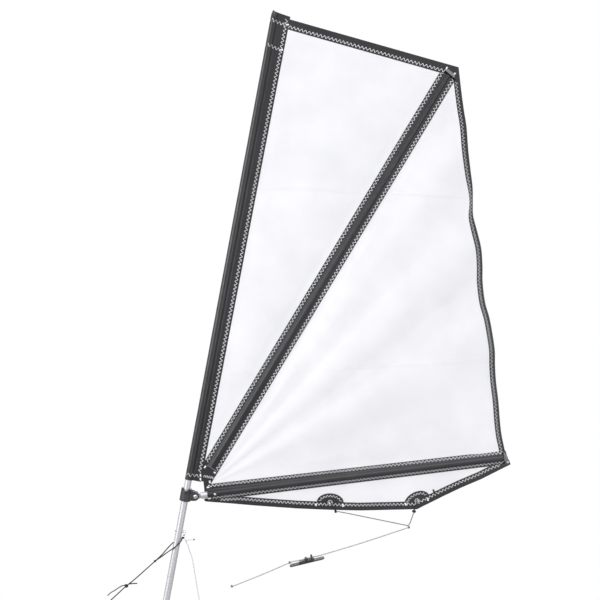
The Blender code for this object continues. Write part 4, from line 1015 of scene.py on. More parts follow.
slot_line = unit_line(on_sprit(sprit_band_end + end_gap, 0.0), sprit_aft)
peak_inner = meet(slot_line, offset_chain([peak, leech_points[1]], -leech_tape_width))
peak_patch = trim_out("peak_patch", patch_from([
    meet(sprit_fore_line, head_top_line), peak.copy(), peak.lerp(leech_points[1], 0.5), peak_inner,
    meet(slot_line, sprit_fore_line)]), "peak_patch")

boom_slot = unit_line(on_boom(boom_pocket_end + end_gap, 0.0), boom_up)
clew_patch = trim_out("clew_patch", patch_from([
    meet(boom_slot, boom_low_line), on_boom(clew_along, -boom_drop),
    *boom_points((1167.5, -15.1), (1162.9, -3.2)),
    meet((clew, leech_points[-2]), boom_top_line), meet(boom_slot, boom_top_line)]), "clew_patch")
paint(steel, "tack_rivet", "boom_rivet", "clew_rivet")


# Webbing tabs: short lengths of grey woven webbing, folded over and sewn down, that shut the ends of the
# sprit and boom pockets. Beside each lies a near-black strip of painted shadow, for the shade in the pocket's open
# mouth.
# Real ribs are finer; they are drawn coarser so that they show
webbing_rib = 1.4 * mm
webbing_relief = 0.3 * mm
webbing_weight = 1.2 * mm
tab_cell = 3.0 * mm
tab_lift = 0.9 * mm
tab_depth = -(band_thickness / 2 + tab_lift)


def ribbed_webbing(name, dark, pale, gloss=0.5):
    """Woven polyester webbing: fine ribs across it, with a dull sheen."""
    surface, place = begin(name)
    turned = add(surface, "Mapping", {"Vector": place, "Rotation": (0.0, -boom_rise, 0.0)})
    ribs = add(surface, "TexWave", {
        "Vector": turned, "Scale": band_scale / webbing_rib, "Distortion": 0.6, "Detail": 2.0},
        {"bands_direction": "Z"})
    return finish(
        surface, ribs, ((0.2, dark), (0.8, pale)), (ribs, 0.8, webbing_relief),
        {"Roughness": 0.7, "Specular IOR Level": gloss, "Sheen Weight": 0.2 * gloss})


webbing = ribbed_webbing("grey_webbing", "66666B", "929297")
# Painted shadow: a near-black ribbed cloth that stands for the shade inside the open ends of the pockets
painted_slot_shadow = ribbed_webbing("painted_slot_shadow_cloth", "08080A", "121214", 0.05)


def add_tab(name, corners, body, stands_for, surface, material_slot="webbing"):
    """A small flat piece in front of the cloth: a sewn-on tab, or a strip of painted shadow."""
    work = patch_from(corners, tab_cell)
    for vert in work.verts:
        vert.co.y += tab_depth
    store_facing(work)
    thicken(work, webbing_weight)
    return dress(finish_mesh(work, name, surface), body, material_slot, stands_for)


clew_tab = add_tab(
    "clew_tab_webbing", boom_points((1148.2, -13), (1162.5, -9), (1159.5, 9), (1153.5, 20), (1148.2, 22)),
    "boom", "clew_tab", webbing)
peak_tab = add_tab(
    "peak_tab_webbing", sprit_points((1824, -25.5), (1817, 18), (1829.5, 13), (1834.5, -25.5)),
    "sprit", "peak_tab", webbing)
# Painted shadow beside the clew tab: a dark strip where the boom pocket's open end is only in shade
add_tab(
    "clew_painted_shadow", boom_points((1142, -19), (1147.4, -19), (1147.4, 22), (1142, 22)),
    "boom", "clew_patch", painted_slot_shadow)
# Painted shadow beside the peak tab: a dark strip where the sprit pocket's open end is only in shade
add_tab(
    "peak_painted_shadow", sprit_points((1817.5, -27), (1808.5, 25), (1814, 25), (1823, -27)),
    "sprit", "peak_patch", painted_slot_shadow)


# Foot: a skirt of the white cloth hangs below the boom pocket, edged with charcoal tape. Two eyelets with
# half-moon patches take the bridle, and a small folded tab is sewn to the tape behind them.
foot_front = 34.0 * mm
foot_depth = 148.0 * mm
foot_shares = (
    (0.000, 0.165), (0.078, 0.285), (0.158, 0.415), (0.292, 0.615), (0.398, 0.750), (0.495, 0.858),
    (0.570, 0.915), (0.662, 0.985), (0.680, 1.000), (0.769, 0.757), (0.833, 0.595), (0.898, 0.453),
    (0.947, 0.318),
)
foot_span = clew_along - foot_front
foot_outer = [on_boom(foot_front + foot_span * a, -foot_depth * d) for a, d in foot_shares] + [clew]
foot_tape_width = 29.0 * mm
skirt_steps = 110
skirt_start_share = 0.085
skirt_length_share = 0.86
skirt_tuck = 4.0 * mm
skirt_top_tuck = 3.0 * mm
skirt_least = 2.0 * mm


def miter_chain(points, offset):
    """A chain moved to its left, with its corners kept sharp."""
    lines = [shift(pair, offset) for pair in zip(points, points[1:])]
    moved = [lines[0][0]]
    for first, second in zip(lines, lines[1:]):
        bend = direction_of(first).cross(direction_of(second))
        moved.append(first[1] if abs(bend.y) < 0.001 else meet(first, second))
    return moved + [lines[-1][1]]


def fill_in(points, steps):
    """A chain with each span cut into equal steps."""
    path = [start.lerp(end, step / steps) for start, end in zip(points, points[1:]) for step in range(steps)]
    return path + [points[-1].copy()]


def place_on(points, along):
    """The point of a chain at a distance along the boom, and its direction there."""
    for first, second in zip(points, points[1:]):
        near = (first - pivot).dot(boom_along)
        far = (second - pivot).dot(boom_along)
        if near <= along <= far:
            return first.lerp(second, (along - near) / (far - near)), (second - first).normalized()
    return points[-1].copy(), boom_along.copy()


def below_boom(point):
    return -(point - pivot).dot(boom_up)


foot_inner = miter_chain(foot_outer, foot_tape_width)
foot_sway = sway_band(lambda u, v: 1.0)
foot_work = sheet_between(fill_in(foot_inner, 10), fill_in(foot_outer, 10), 3, foot_sway)
low_line = shift(boom_low_line, -end_gap)
cut_off(foot_work, low_line[0], left_of(direction_of(low_line)))
foot_tape = trim_out("foot_tape", foot_work, "foot_tape")

skirt_near = []
skirt_far = []
for step in range(skirt_steps + 1):
    along = foot_front + foot_span * (skirt_start_share + skirt_length_share * step / skirt_steps)
    lower = place_on(foot_inner, along)[0] - boom_up * skirt_tuck
    if below_boom(lower) > boom_drop + skirt_least:
        skirt_near.append(on_boom(along, skirt_top_tuck - boom_drop))
        skirt_far.append(lower)


def skirt_shape(u, v, point):
    point.y += wrinkle(point, 1.2) * dome(u, v)
    foot_sway(u, v, point)


foot_skirt = part_out(
    "foot_skirt", sheet_between(skirt_near, skirt_far, 14, skirt_shape), sailcloth, "sailcloth",
    sailcloth_weight, "foot_skirt")

eyelet_shares = (0.402, 0.683)
eyelet_hole = 6.9 * mm
eyelet_drop = 1.98 * mm
moon_radius = 49.0 * mm
moon_height = 32.0 * mm
moon_thickness = 0.8 * mm
moon_gap = 0.3 * mm
moon_layer = band_thickness / 2 + moon_gap + moon_thickness / 2
punch_length = 40.0 * mm


def moon_arc(eyelet, border, steps):
    """The points of a half-moon's round edge, from end to end, at a border's distance inside it."""
    centre, seam, run, rise = eyelet
    half, height = moon_radius - border, moon_height - border
    turns = (math.pi * step / steps for step in range(steps + 1))
    return [seam + run * half * math.cos(turn) + rise * height * math.sin(turn) for turn in turns]


eyelets = []
half_moons = []
for place_name, share in zip(("fore", "aft"), eyelet_shares):
    seam, run = place_on(foot_inner, foot_front + foot_span * share)
    rise = left_of(run)
    centre = seam - rise * eyelet_drop
    eyelets.append((centre, seam, run, rise))
    outline = moon_arc(eyelets[-1], 0.0, 40)
    outline += [outline[-1].lerp(outline[0], step / 24) for step in range(1, 24)]
    hole = []
    for point in outline:
        turn = math.atan2((point - centre).dot(rise), (point - centre).dot(run))
        hole.append(centre + (run * math.cos(turn) + rise * math.sin(turn)) * eyelet_hole)
    for face_name, side in (("near", -1), ("far", 1)):
        work = sheet_between(hole + [hole[0]], outline + [outline[0]], 4)
        bmesh.ops.remove_doubles(work, verts=work.verts, dist=same_place)
        for vert in work.verts:
            vert.co.y = side * moon_layer + sway(vert.co.z + vert.co.x)
        store_facing(work)
        thicken(work, moon_thickness)
        title = "half_moon_" + place_name + "_" + face_name
        half_moons.append(dress(finish_mesh(work, title + "_cloth", trim), "boom", "trim_cloth", title))


def punch(item, centre, radius):
    """Cut a round hole through a piece."""
    work = bmesh.new()
    bmesh.ops.create_cone(
        work, cap_ends=True, segments=24, radius1=radius, radius2=radius, depth=punch_length,
        matrix=Matrix.Translation(centre) @ Matrix.Rotation(math.pi / 2, 4, "X"))
    mesh = bpy.data.meshes.new("punch")
    work.to_mesh(mesh)
    work.free()
    tool = place_in_scene("punch", mesh)
    step = item.modifiers.new("hole", "BOOLEAN")
    step.operation = "DIFFERENCE"
    step.object = tool
    graph = bpy.context.evaluated_depsgraph_get()
    item.data = bpy.data.meshes.new_from_object(item.evaluated_get(graph))
    item.modifiers.clear()
    bpy.data.objects.remove(tool)


for item in (foot_tape["boom"], foot_skirt["boom"]):
    for eyelet in eyelets:
        punch(item, eyelet[0], eyelet_hole)
paint(steel, "eyelet_fore", "eyelet_aft")

foot_tab_share = 0.742
foot_tab_half = (3.0 * mm, 10.0 * mm)
tab_seam, tab_run = place_on(foot_inner, foot_front + foot_span * foot_tab_share)
foot_tab = add_tab("foot_tab_cloth", [
    tab_seam + tab_run * side * foot_tab_half[0] + left_of(tab_run) * end * foot_tab_half[1]
    for side, end in ((-1, -1), (1, -1), (1, 1), (-1, 1))], "boom", "foot_tab", trim, "trim_cloth")


# Sewing: bonded polyester thread, pale grey on the charcoal cloth and white on the sailcloth, in zigzag rows
# that go through both faces. Where a row ends or bears load it is sewn over into a dense bar.
# A real thread's twist is finer; it is drawn coarser so that it shows
thread_grain = 2.5 * mm
thread_relief = 0.2 * mm
thread_lift = 0.4 * mm
thread_flatness = 0.55
cloth_reach = 0.3
straight_width = 1.0 * mm
# Each stitch: its width, its pitch and its thread's radius, all coarser than the real ones so that they show
wide_stitch = (11.0 * mm, 14.5 * mm, 1.05 * mm)
leech_stitch = (9.0 * mm, 13.5 * mm, 0.75 * mm)
boom_stitch = (9.5 * mm, 14.0 * mm, 1.15 * mm)
foot_stitch = (9.5 * mm, 13.5 * mm, 1.0 * mm)
moon_stitch = (8.0 * mm, 12.0 * mm, 0.85 * mm)
clew_stitch = (4.0 * mm, 5.0 * mm, 0.8 * mm)
tack_stitch = (9.0 * mm, 9.0 * mm, 0.8 * mm)
mouth_stitch = (0.3 * mm, 6.0 * mm, 0.6 * mm)
bar_stitch = (5.5 * mm, 2.2 * mm, 1.05 * mm)
long_bar_stitch = (7.0 * mm, 2.4 * mm, 1.5 * mm)
lap_stitch = (4.5 * mm, 9.0 * mm, 0.6 * mm)


def thread_finish(name, dark, pale):
    """Twisted polyester thread: smooth and slightly shiny, a little uneven in tone."""
    surface, place = begin(name)
    twist = add(surface, "TexNoise", {"Vector": place, "Scale": 1 / thread_grain, "Detail": 2.0})
    return finish(
        surface, twist, ((0.3, dark), (0.7, pale)), (twist, 0.5, thread_relief), {"Roughness": 0.5})


pale_thread = thread_finish("pale_grey_thread", "DEDEE2", "F4F4F6")
dull_thread = thread_finish("dull_grey_thread", "A6A6AB", "C6C6CA")
white_thread = thread_finish("white_thread", "F8F8FA", "FCFCFD")


def surface_tree(items):
    """The faces of cloth pieces as one searchable surface."""
    points = []
    polygons = []
    for item in items:
        first = len(points)
        points += [vert.co.copy() for vert in item.data.vertices]
        polygons += [[first + index for index in face.vertices] for face in item.data.polygons]
    return BVHTree.FromPolygons(points, polygons)


cloth_pieces = [luff_sleeve, sprit_round, boom_round, clew_tab, peak_tab, foot_tab, *half_moons]
for group in (
        upper_panel, lower_panel, luff_flange, head_tape, leech_tape, sprit_fore_band, sprit_aft_band,
        boom_top_band, boom_low_band, tack_patch, peak_patch, clew_patch, foot_tape, foot_skirt):
    cloth_pieces += group.values()
cloth_tree = surface_tree(cloth_pieces)


def cloth_at(tree, point, side):
    """Where the cloth's outer face lies in front of (-1) or behind (+1) a point of the sail's plane."""
    return tree.ray_cast(Vector((point.x, side * cloth_reach, point.z)), across * -side)[0]


def chain_length(path):
    return sum((b - a).length for a, b in zip(path, path[1:]))


def sew(work, points, width, pitch, radius):
    """One zigzag row along a chain in the sail's plane, on both faces of the cloth."""
    path = even_chain(points, max(2, round(2 * chain_length(points) / pitch)))
    for side in (-1, 1):
        rings = []
        for index, point in enumerate(path):
            run = flat_run(path, index)
            place = point + left_of(run) * width * (0.5 if index % 2 else -0.5)
            hit = cloth_at(cloth_tree, place, side) or cloth_at(cloth_tree, point, side)
            if hit is None:
                continue
            place.y = hit.y + side * thread_lift
            spread = (run if width > straight_width else left_of(run)) * radius
            rise = across * radius * thread_flatness
            rings.append([work.verts.new(place + offset) for offset in (spread, rise, -spread, -rise)])
        for row, after in zip(rings, rings[1:]):
            band(work, row, after)
        if len(rings) > 1:
            work.faces.new(list(reversed(rings[0])))
            work.faces.new(rings[-1])


def sewn(name, rows, stitch=wide_stitch, surface=pale_thread, material_slot="trim_cloth"):
    """The rows of one seam as pieces that go with the cloth below them."""
    work = bmesh.new()
    for row in rows:
        sew(work, row, *stitch)
    bmesh.ops.recalc_face_normals(work, faces=work.faces)
    return part_out(name, work, surface, material_slot)


def inset(line, offset, start, end):
    """A line moved to its left and shortened at each end, as a chain; all in millimetres."""
    moved = shift(line, offset * mm)
    run = direction_of(moved)
    return [moved[0] + run * start * mm, moved[1] - run * end * mm]


luff_sewing = sewn("luff_sewing", [
    inset((flange_foot, flange_top), 11.5, 34, 12), [in_plane(-11, 706), in_plane(34, 706)],
    [in_plane(-11, 2412), in_plane(43, 2404)], [in_plane(-11, 2320), in_plane(43, 2310)]])
head_sewing = sewn("head_sewing", [inset(head_top_line, -27.36, 2, 44)])
leech_row_share = 0.53
leech_row_end = 50.0 * mm
leech_sewing = sewn("leech_sewing", [[
    point for point in leech_inset(leech_band, leech_row_share) if point.z < peak.z - leech_row_end]],
    leech_stitch)
sprit_sewing = sewn("sprit_sewing", [inset(sprit_fore_line, -8, 9, 2), inset(sprit_aft_line, 8, 2, 2)])
boom_sewing = sewn(
    "boom_sewing", [inset(boom_top_line, -7, 2, 2), inset(boom_low_line, 9.5, 17, 2)], boom_stitch)

foot_row_share = 0.68
foot_row_least = 3.0 * mm
foot_row = [
    point for point in offset_chain(fill_in(foot_outer, 6), foot_row_share * foot_tape_width)
    if below_boom(point) > boom_drop + foot_row_least]
foot_sewing = sewn("foot_sewing", [[in_plane(130, 634), *foot_row, in_plane(1122, 948)]], foot_stitch)
moon_border = 9.5 * mm
moon_rows = [moon_arc(eyelet, moon_border, 24)[1:-1] for eyelet in eyelets]
sewn("half_moon_sewing", moon_rows, moon_stitch)
sewn("clew_sewing", [boom_points((1151.6, -18), (1157.6, -17))], clew_stitch, dull_thread)
sewn("tack_sewing", [[in_plane(52, 709), in_plane(92, 709)]], tack_stitch)
sewn("mouth_sewing", [sprit_points((119, -24), (119, 20))], mouth_stitch, dull_thread)

bar_length = 9.0 * mm
bar_marks = (
    (boom_up, boom_points(
        (26.4, 74.3), (24.5, 60), (57.3, 45.8), (437, -86), (535.5, -101), (766, -124), (850, -117))),
    (boom_along, boom_points((48.5, 26.8))),
    (sprit_along, [in_plane(51, 743), in_plane(661, 2356), in_plane(694, 2340)]),
    (aft, [in_plane(53.5, 2407), in_plane(49, 2311)]),
)
bar_rows = [
    [middle - way * bar_length / 2, middle + way * bar_length / 2]
    for way, middles in bar_marks for middle in middles]
sewn("bar_sewing", bar_rows, bar_stitch)
sewn("long_bar_sewing", [boom_points((36, -14), (54.5, -14))], long_bar_stitch, white_thread)


# Cloth laps: where the three cloths of the sail meet, one edge lies over the next by a thumb's width. Each
# lap is sewn down with two narrow zigzag rows of white thread.
lap_width = 13.0 * mm
lap_lift = 0.12 * mm
lap_weight = 0.3 * mm
lap_row_aside = 3.6 * mm
lap_row_end = 6.0 * mm
lap_row_leech_end = 4.0 * mm
high_lap = (in_plane(62, 1800), in_plane(822, 1902))
low_lap = (in_plane(60, 1098), in_plane(1000, 1321))
panel_tree = surface_tree([*upper_panel.values(), *lower_panel.values()])


def lap_strip(name, line):
    """A narrow raised band of sailcloth along a seam, laid on the panels' near face."""
    near, far = (even_chain(shift(line, lap_width * side), 220) for side in (0.5, -0.5))
    work = sheet_between(near, far, 2)
    doomed = []
    for vert in work.verts:
        hit = cloth_at(panel_tree, vert.co, -1)
        if hit is None:
            doomed.append(vert)
        else:
            vert.co.y = hit.y - lap_lift
    bmesh.ops.delete(work, geom=doomed, context="VERTS")
    return part_out(name, work, sailcloth, "sailcloth", lap_weight)


high_cloth_lap = lap_strip("cloth_lap_high", high_lap)
low_cloth_lap = lap_strip("cloth_lap_low", low_lap)
cloth_tree = surface_tree([*cloth_pieces, *high_cloth_lap.values(), *low_cloth_lap.values()])
lap_rows = []
for line in (high_lap, low_lap):
    luff_end, fore_end, aft_end = (
        meet(line, edge) for edge in (flange_line, sprit_fore_line, sprit_aft_line))
    for start, end in ((luff_end, fore_end), (aft_end, line[1] - aft * lap_row_leech_end)):
        for height in (-lap_row_aside, lap_row_aside):
            rise = Vector((0.0, 0.0, height))
            lap_rows.append([start + aft * lap_row_end + rise, end - aft * lap_row_end + rise])
lap_sewing = sewn("lap_sewing", lap_rows, lap_stitch, white_thread, "sailcloth")


# Cords: the stays, bridle and sheet are braided polyester, 4 mm thick, black for the long stay and grey
# with dark flecks for the rest. Each is knotted at its ends, and the stays end in a tied loop.
strand_length = 3.2 * mm
strand_height = 0.3 * mm
strands_round = 4
cord_sides = 12
loop_reach = 13.0 * mm
stay_radius = 2.1 * mm
stay_tail_radius = 1.8 * mm
ring_knot_radius = 2.0 * mm
light_radius = 1.9 * mm
light_tail_radius = 1.5 * mm
light_knot_radius = 1.3 * mm
bridle_radius = 1.8 * mm


def braided(name, dark, pale, flecks_a_metre):
    """Braided polyester cord: strands cross at a slant round it, dull, with a fleck in the braid."""
    surface, place = begin(name, "UV")
    turns = add(surface, "Math", {
        0: add(surface, "SeparateXYZ", {0: place}, take="X"), 1: strands_round * math.tau},
        {"operation": "MULTIPLY"})
    lengths = add(surface, "Math", {
        0: add(surface, "SeparateXYZ", {0: place}, take="Y"), 1: math.tau / strand_length},
        {"operation": "MULTIPLY"})
    strands = []
    for operation in ("ADD", "SUBTRACT"):
        slant = add(surface, "Math", {0: turns, 1: lengths}, {"operation": operation})
        strands.append(add(surface, "Math", {0: slant}, {"operation": "SINE"}))
    braid = add(surface, "Math", {0: strands[0], 1: strands[1]}, {"operation": "MAXIMUM"})
    flecks = add(surface, "TexNoise", {"Vector": place, "Scale": flecks_a_metre, "Detail": 1.0})
    tone = add(surface, "Math", {0: braid, 1: 0.18, 2: flecks}, {"operation": "MULTIPLY_ADD"})
    return finish(
        surface, tone, ((0.4, dark), (0.72, pale)), (braid, 0.7, strand_height),
        {"Roughness": 0.72, "Sheen Weight": 0.2})


black_braid = braided("black_braided_polyester", "0A0A0C", "1B1B1E", 60.0)
grey_braid = braided("grey_braided_polyester", "3E3E42", "929296", 90.0)
sheet_braid = braided("sheet_braided_polyester", "727276", "CCCCD0", 90.0)
pale_braid = braided("pale_braided_polyester", "A4A4A8", "F4F4F6", 70.0)
tight_braid = braided("tight_grey_braid", "242427", "626266", 90.0)
# Each kind of cord: its finish, its slot and its body
black = (black_braid, "black_cord", "mast")
pale = (pale_braid, "grey_cord", "mast")
tight = (tight_braid, "grey_cord", "mast")
black_aboard = (black_braid, "grey_cord", "boom")
grey_aboard = (grey_braid, "grey_cord", "boom")
sheet_aboard = (sheet_braid, "grey_cord", "boom")


def cord_tube(name, stands_for, kind, path, radius, closed=False):
    """A round cord along a path, mapped round and along it."""
    surface, material_slot, body = kind
    work = bmesh.new()
    mapping = work.loops.layers.uv.new("UVMap")
    rings = []
    travelled = [0.0]
    side = None
    for index, point in enumerate(path):
        run = path[(index + 1) % len(path)] - path[index - 1] if closed else run_at(path, index)
        run.normalize()
        if side is None:
            side = run.orthogonal().normalized()
        side = (side - run * side.dot(run)).normalized()
        up = run.cross(side)
        rings.append([
            work.verts.new(point + (side * math.cos(turn) + up * math.sin(turn)) * radius)
            for turn in (math.tau * step / cord_sides for step in range(cord_sides))])
        if index:
            travelled.append(travelled[-1] + (point - path[index - 1]).length)
    spans = list(zip(rings, rings[1:], travelled, travelled[1:]))
    if closed:
        spans.append((rings[-1], rings[0], travelled[-1], travelled[-1] + (path[0] - path[-1]).length))
    for row, after, start, end in spans:
        for index, face in enumerate(band(work, row, after)):
            left, right = index / cord_sides, (index + 1) / cord_sides
            for loop, place in zip(face.loops, ((left, start), (right, start), (right, end), (left, end))):
                loop[mapping].uv = place
    if not closed:
        work.faces.new(list(reversed(rings[0])))
        work.faces.new(rings[-1])
    bmesh.ops.recalc_face_normals(work, faces=work.faces)
    return dress(finish_mesh(work, name, surface), body, material_slot, stands_for)


def tied_knot(name, stands_for, kind, centre, direction, radius, spread=0.62):
    """An overhand knot pulled tight."""
    way = direction.normalized()
    side = way.orthogonal().normalized()
    up = way.cross(side)
    path = []
    for t in (math.tau * step / 60 for step in range(60)):
        path.append(centre + radius * spread * (
            side * (math.sin(t) + 2 * math.sin(2 * t)) + up * (math.cos(t) - 2 * math.cos(2 * t))
            - way * 1.7 * math.sin(3 * t)))
    return cord_tube(name, stands_for, kind, path, radius * 0.92, closed=True)


def tied_loop(name, stands_for, kind, centre, direction, radius):
    """The loop that a taut stay ends in, and the knot that ties it."""
    way = direction.normalized()
    path = [
        centre + way * loop_reach * math.cos(t) + left_of(way) * 0.6 * loop_reach * math.sin(t)
        for t in (math.tau * step / 40 for step in range(40))]
    loop = cord_tube(name, stands_for, kind, path, radius, closed=True)
    return [loop, tied_knot(name + "_knot", stands_for, kind, centre - way * loop_reach, way, radius)]


def laid(*route):
    """A smooth path through a cord's own points, which are in millimetres."""
    return smooth_chain([Vector([value * mm for value in point]) for point in route], 6)


def declare_cord(item, path, radius, far_end, **carried):
    """Declare a taut, limp cord, from where it leaves the object to its far end."""
    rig.cord(
        item, exit=tuple(path[0]), length=chain_length(path), diameter=2 * radius, far_end=far_end,
        stiffness="limp", lay="taut", path=[tuple(point) for point in path], **carried)


stay_path = laid(
    (16.5, -7.8, 469), (15, -11, 461), (7, -16, 447), (-3, -15.8, 435), (-14, -10.8, 423), (-24, -7, 413),
    (-45, -4, 390), (-66, -2.6, 368), (-98, -1.8, 327), (-130, -1, 286), (-155, 0, 257), (-180, 0, 224),
    (-201, 0, 196), (-215, 0, 177.5))
strop_path = laid(
    (16.5, 7.8, 469), (14.5, 11.2, 465), (6, 16, 457), (-4, 15.8, 451), (-15, 11, 443), (-30, 6.6, 422),
    (-46, 4, 395), (-66, 2.6, 368), (-69, 2, 364.5))
stay_tail_path = laid(
    (-155, -1, 259), (-163, -3.5, 258.5), (-170, -4, 256), (-182, -4.5, 246), (-193, -4.5, 235),
    (-206, -5, 224), (-216, -6, 211))
stay_stub_path = laid((-151, -3, 262), (-145, -6, 268), (-132, -6, 272), (-116.5, -5.5, 275.6))
stay_way = in_plane(-60, -79.5)
black_stay = cord_tube("black_stay_cord", "black_stay", black, stay_path, stay_radius)
strop = cord_tube("black_strop_cord", "black_stay", black, strop_path, stay_radius)
stay_tail = cord_tube("black_stay_tail", "black_stay", black, stay_tail_path, stay_tail_radius)
stay_knot = tied_knot(
    "black_stay_knot", "black_stay", black, in_plane(-154.5, 257.5), stay_way, 1.4 * stay_radius)
stay_stub = cord_tube("black_stay_stub", "black_stay", black, stay_stub_path, stay_radius)
splice = tied_knot("black_stay_splice", "black_stay", black, in_plane(-67, 367), stay_way, stay_radius, 0.5)
ring_knot = tied_knot(
    "ring_knot_cord", "ring_knot", black, in_plane(19.5, 471), in_plane(0, 1), ring_knot_radius)
stay_loop = tied_loop("black_stay_loop", "black_stay", black, in_plane(-223.5, 166.5), stay_way, stay_radius)
declare_cord(
    black_stay, stay_path, stay_radius, "knot", with_pieces=[stay_knot, stay_stub, *stay_loop, ring_knot])
declare_cord(strop, strop_path, stay_radius, "object", with_pieces=[splice])
declare_cord(stay_tail, stay_tail_path, stay_tail_radius, "bare")

light_path = laid(
    (26.2, 0, 466.5), (38, 0, 452), (53, 0, 425), (68, 0, 397), (92.5, 0, 329.5), (117, 0, 262),
    (130, 0, 226.2))
light_stay = cord_tube("light_stay_cord", "light_stay", pale, light_path, light_radius)
light_loop = tied_loop(
    "light_stay_loop", "light_stay", pale, in_plane(135, 212.5), in_plane(13, -35.8), light_radius)
light_tail = cord_tube(
    "light_tail_cord", "light_stay_tail", pale, laid((34, -4.5, 463), (45, -5, 469), (59.5, -4.5, 472.2)),
    light_tail_radius)
light_tail_knot = tied_knot(
    "light_tail_knot", "light_stay_tail", tight, in_plane(60.3, 472.4) - across * 4.5 * mm,
    in_plane(1000, 200), light_knot_radius)
declare_cord(
    light_stay, light_path, light_radius, "knot", with_pieces=[*light_loop, light_tail, light_tail_knot])
paint(steel, "mast_eye", "mast_ring")

bridle_path = laid(
    (556.5, 0, 668.6), (580, 0, 670.5), (700, 0, 668.6), (815, 0, 666.4), (824, 0, 666.2), (830, 0, 669),
    (834, 0, 676), (837, 0, 693), (841, 0, 722))
fore_loop_path = laid(
    (556, 1.2, 670), (548, 5.6, 681), (537, 5.6, 693.5), (531.5, 4, 697.5), (530.3, 0, 698.2),
    (531.5, -4, 697.5), (537, -5.6, 693.5), (548, -5.6, 681), (556, -1.2, 670))
aft_loop_path = laid(
    (841.2, 1.2, 724), (842.5, 5.6, 737), (844.8, 5.6, 755.5), (845.4, 4, 760.8), (845.5, 0, 762),
    (845.4, -4, 760.8), (844.8, -5.6, 755.5), (842.5, -5.6, 737), (841.2, -1.2, 724))
bridle = cord_tube("bridle_cord", "bridle", grey_aboard, bridle_path, bridle_radius)
declare_cord(bridle, bridle_path, bridle_radius, "object", with_pieces=[
    cord_tube("bridle_loop_fore", "bridle", black_aboard, fore_loop_path, bridle_radius),
    cord_tube("bridle_loop_aft", "bridle", black_aboard, aft_loop_path, bridle_radius),
    tied_knot(
        "bridle_knot_fore", "bridle", black_aboard, in_plane(556, 668.5), in_plane(1000, 400),
        bridle_radius, 0.9),
    tied_knot(
        "bridle_knot_aft", "bridle", black_aboard, in_plane(841.2, 722.5), in_plane(200, 1000),
        1.2 * bridle_radius, 0.9)])


# Cleat: a cam cleat of black moulded nylon on an aluminium plate, which hangs on the sheet. The sheet runs
# through a moulded bridge and between the two toothed cams, which stainless screws hold to the base.
cleat_centre = in_plane(486, 467)
cleat_pitch = math.radians(24.0)
cleat_along = slanted(cleat_pitch)
sheet_level = 12.1 * mm
plate_half = 65.5 * mm
stopper_gap = 4.2 * mm
sheet_radius = 2.0 * mm
cleat_alloy = anodised_tube("grey_anodised_plate", math.pi / 2 - cleat_pitch, "4A4A4E", "626267")
cam_nylon = moulded_nylon("cam_nylon", "232326", "2E2E32")
cleat_fittings = {
    cleat_alloy: ["cleat_plate"],
    nylon: ["cleat_base", "cleat_fairlead"],
    steel: ["cleat_bolt_fore", "cleat_bolt_aft", "cam_screw_near", "cam_screw_far"],
    cam_nylon: ["cam_near", "cam_far"],
}
for surface, names in cleat_fittings.items():
    paint(surface, *names)
on_plate = [
    cleat_centre + cleat_along * plate_half * share + left_of(cleat_along) * sheet_level
    for share in (1.0, 0.5, 0.0, -0.5, -0.9)]
sheet_path = smooth_chain([
    in_plane(833, 660.6), in_plane(776, 629), in_plane(660, 566), *on_plate, in_plane(340, 396),
    in_plane(247, 337), in_plane(230, 327.2)], 6)
sheet_cord = cord_tube("sheet_cord", "sheet", sheet_aboard, sheet_path, sheet_radius)
sheet_knots = [
    tied_knot(name, "sheet", grey_aboard, centre, direction, sheet_radius)
    for name, centre, direction in (
        ("sheet_knot", in_plane(833.3, 660.8), in_plane(-880, -480)),
        ("sheet_stopper", on_plate[-1] - cleat_along * stopper_gap, -cleat_along),
        ("sheet_end_knot", in_plane(229, 326.5), in_plane(-860, -500)))]
declare_cord(
    sheet_cord, sheet_path, sheet_radius, "knot",
    with_pieces=[*sheet_knots, *(name for names in cleat_fittings.values() for name in names)])


# View: the camera stands square to the sail, rolled as the photograph is. The floor and the backdrop are
# white to the camera and greyer to the light, so that the white cloth doesn't clip.
view_centre = in_plane(284, 1414)
view_distance = 4.0
view_right = Vector((0.9833, 0.0, 0.1822))
view_up = left_of(view_right)
camera_data = bpy.data.cameras.new("camera")
camera_data.sensor_width = 36.0
camera_data.lens = 64.9
camera = place_in_scene("camera", camera_data)
camera.matrix_world = Matrix((view_right, view_up, -across)).transposed().to_4x4()
camera.location = view_centre - across * view_distance
bpy.context.scene.camera = camera

floor_half = 14.0
floor_drop = 0.5 * mm
floor_shade = 0.36
white = (1.0, 1.0, 1.0, 1.0)
floor_surface = bpy.data.materials.new("white_floor")
floor_surface.use_nodes = True
floor_shader = floor_surface.node_tree.nodes["Principled BSDF"]
feed(floor_surface, floor_shader, {"Base Color": (*3 * [floor_shade], 1.0), "Roughness": 0.9})
mixed = add(floor_surface, "MixShader", {
    0: add(floor_surface, "LightPath", take="Is Camera Ray"), 1: floor_shader.outputs[0],
    2: add(floor_surface, "Emission", {"Color": white, "Strength": 1.0})})
feed(floor_surface, floor_surface.node_tree.nodes["Material Output"], {"Surface": mixed})
floor_mesh = bpy.data.meshes.new("floor")
floor_corners = [(floor_half * x, floor_half * y, 0.0) for x, y in ((-1, -1), (1, -1), (1, 1), (-1, 1))]
floor_mesh.from_pydata(floor_corners, [], [(0, 1, 2, 3)])
floor_mesh.materials.append(floor_surface)
floor = place_in_scene("floor", floor_mesh)
floor.location.z = -floor_drop
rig.stage(floor)

light_level = 0.49
glossy_share = 0.3
world = bpy.data.worlds.new("backdrop")
bpy.context.scene.world = world
world.use_nodes = True
shown = add(world, "Math", {
    0: add(world, "LightPath", take="Is Glossy Ray"), 1: glossy_share,
    2: add(world, "LightPath", take="Is Camera Ray")}, {"operation": "MULTIPLY_ADD"})
level = add(world, "MapRange", {
    "Value": shown, "From Min": 0.0, "From Max": 1.0, "To Min": light_level, "To Max": 1.0})
feed(world, world.node_tree.nodes["Background"], {"Color": white, "Strength": level})

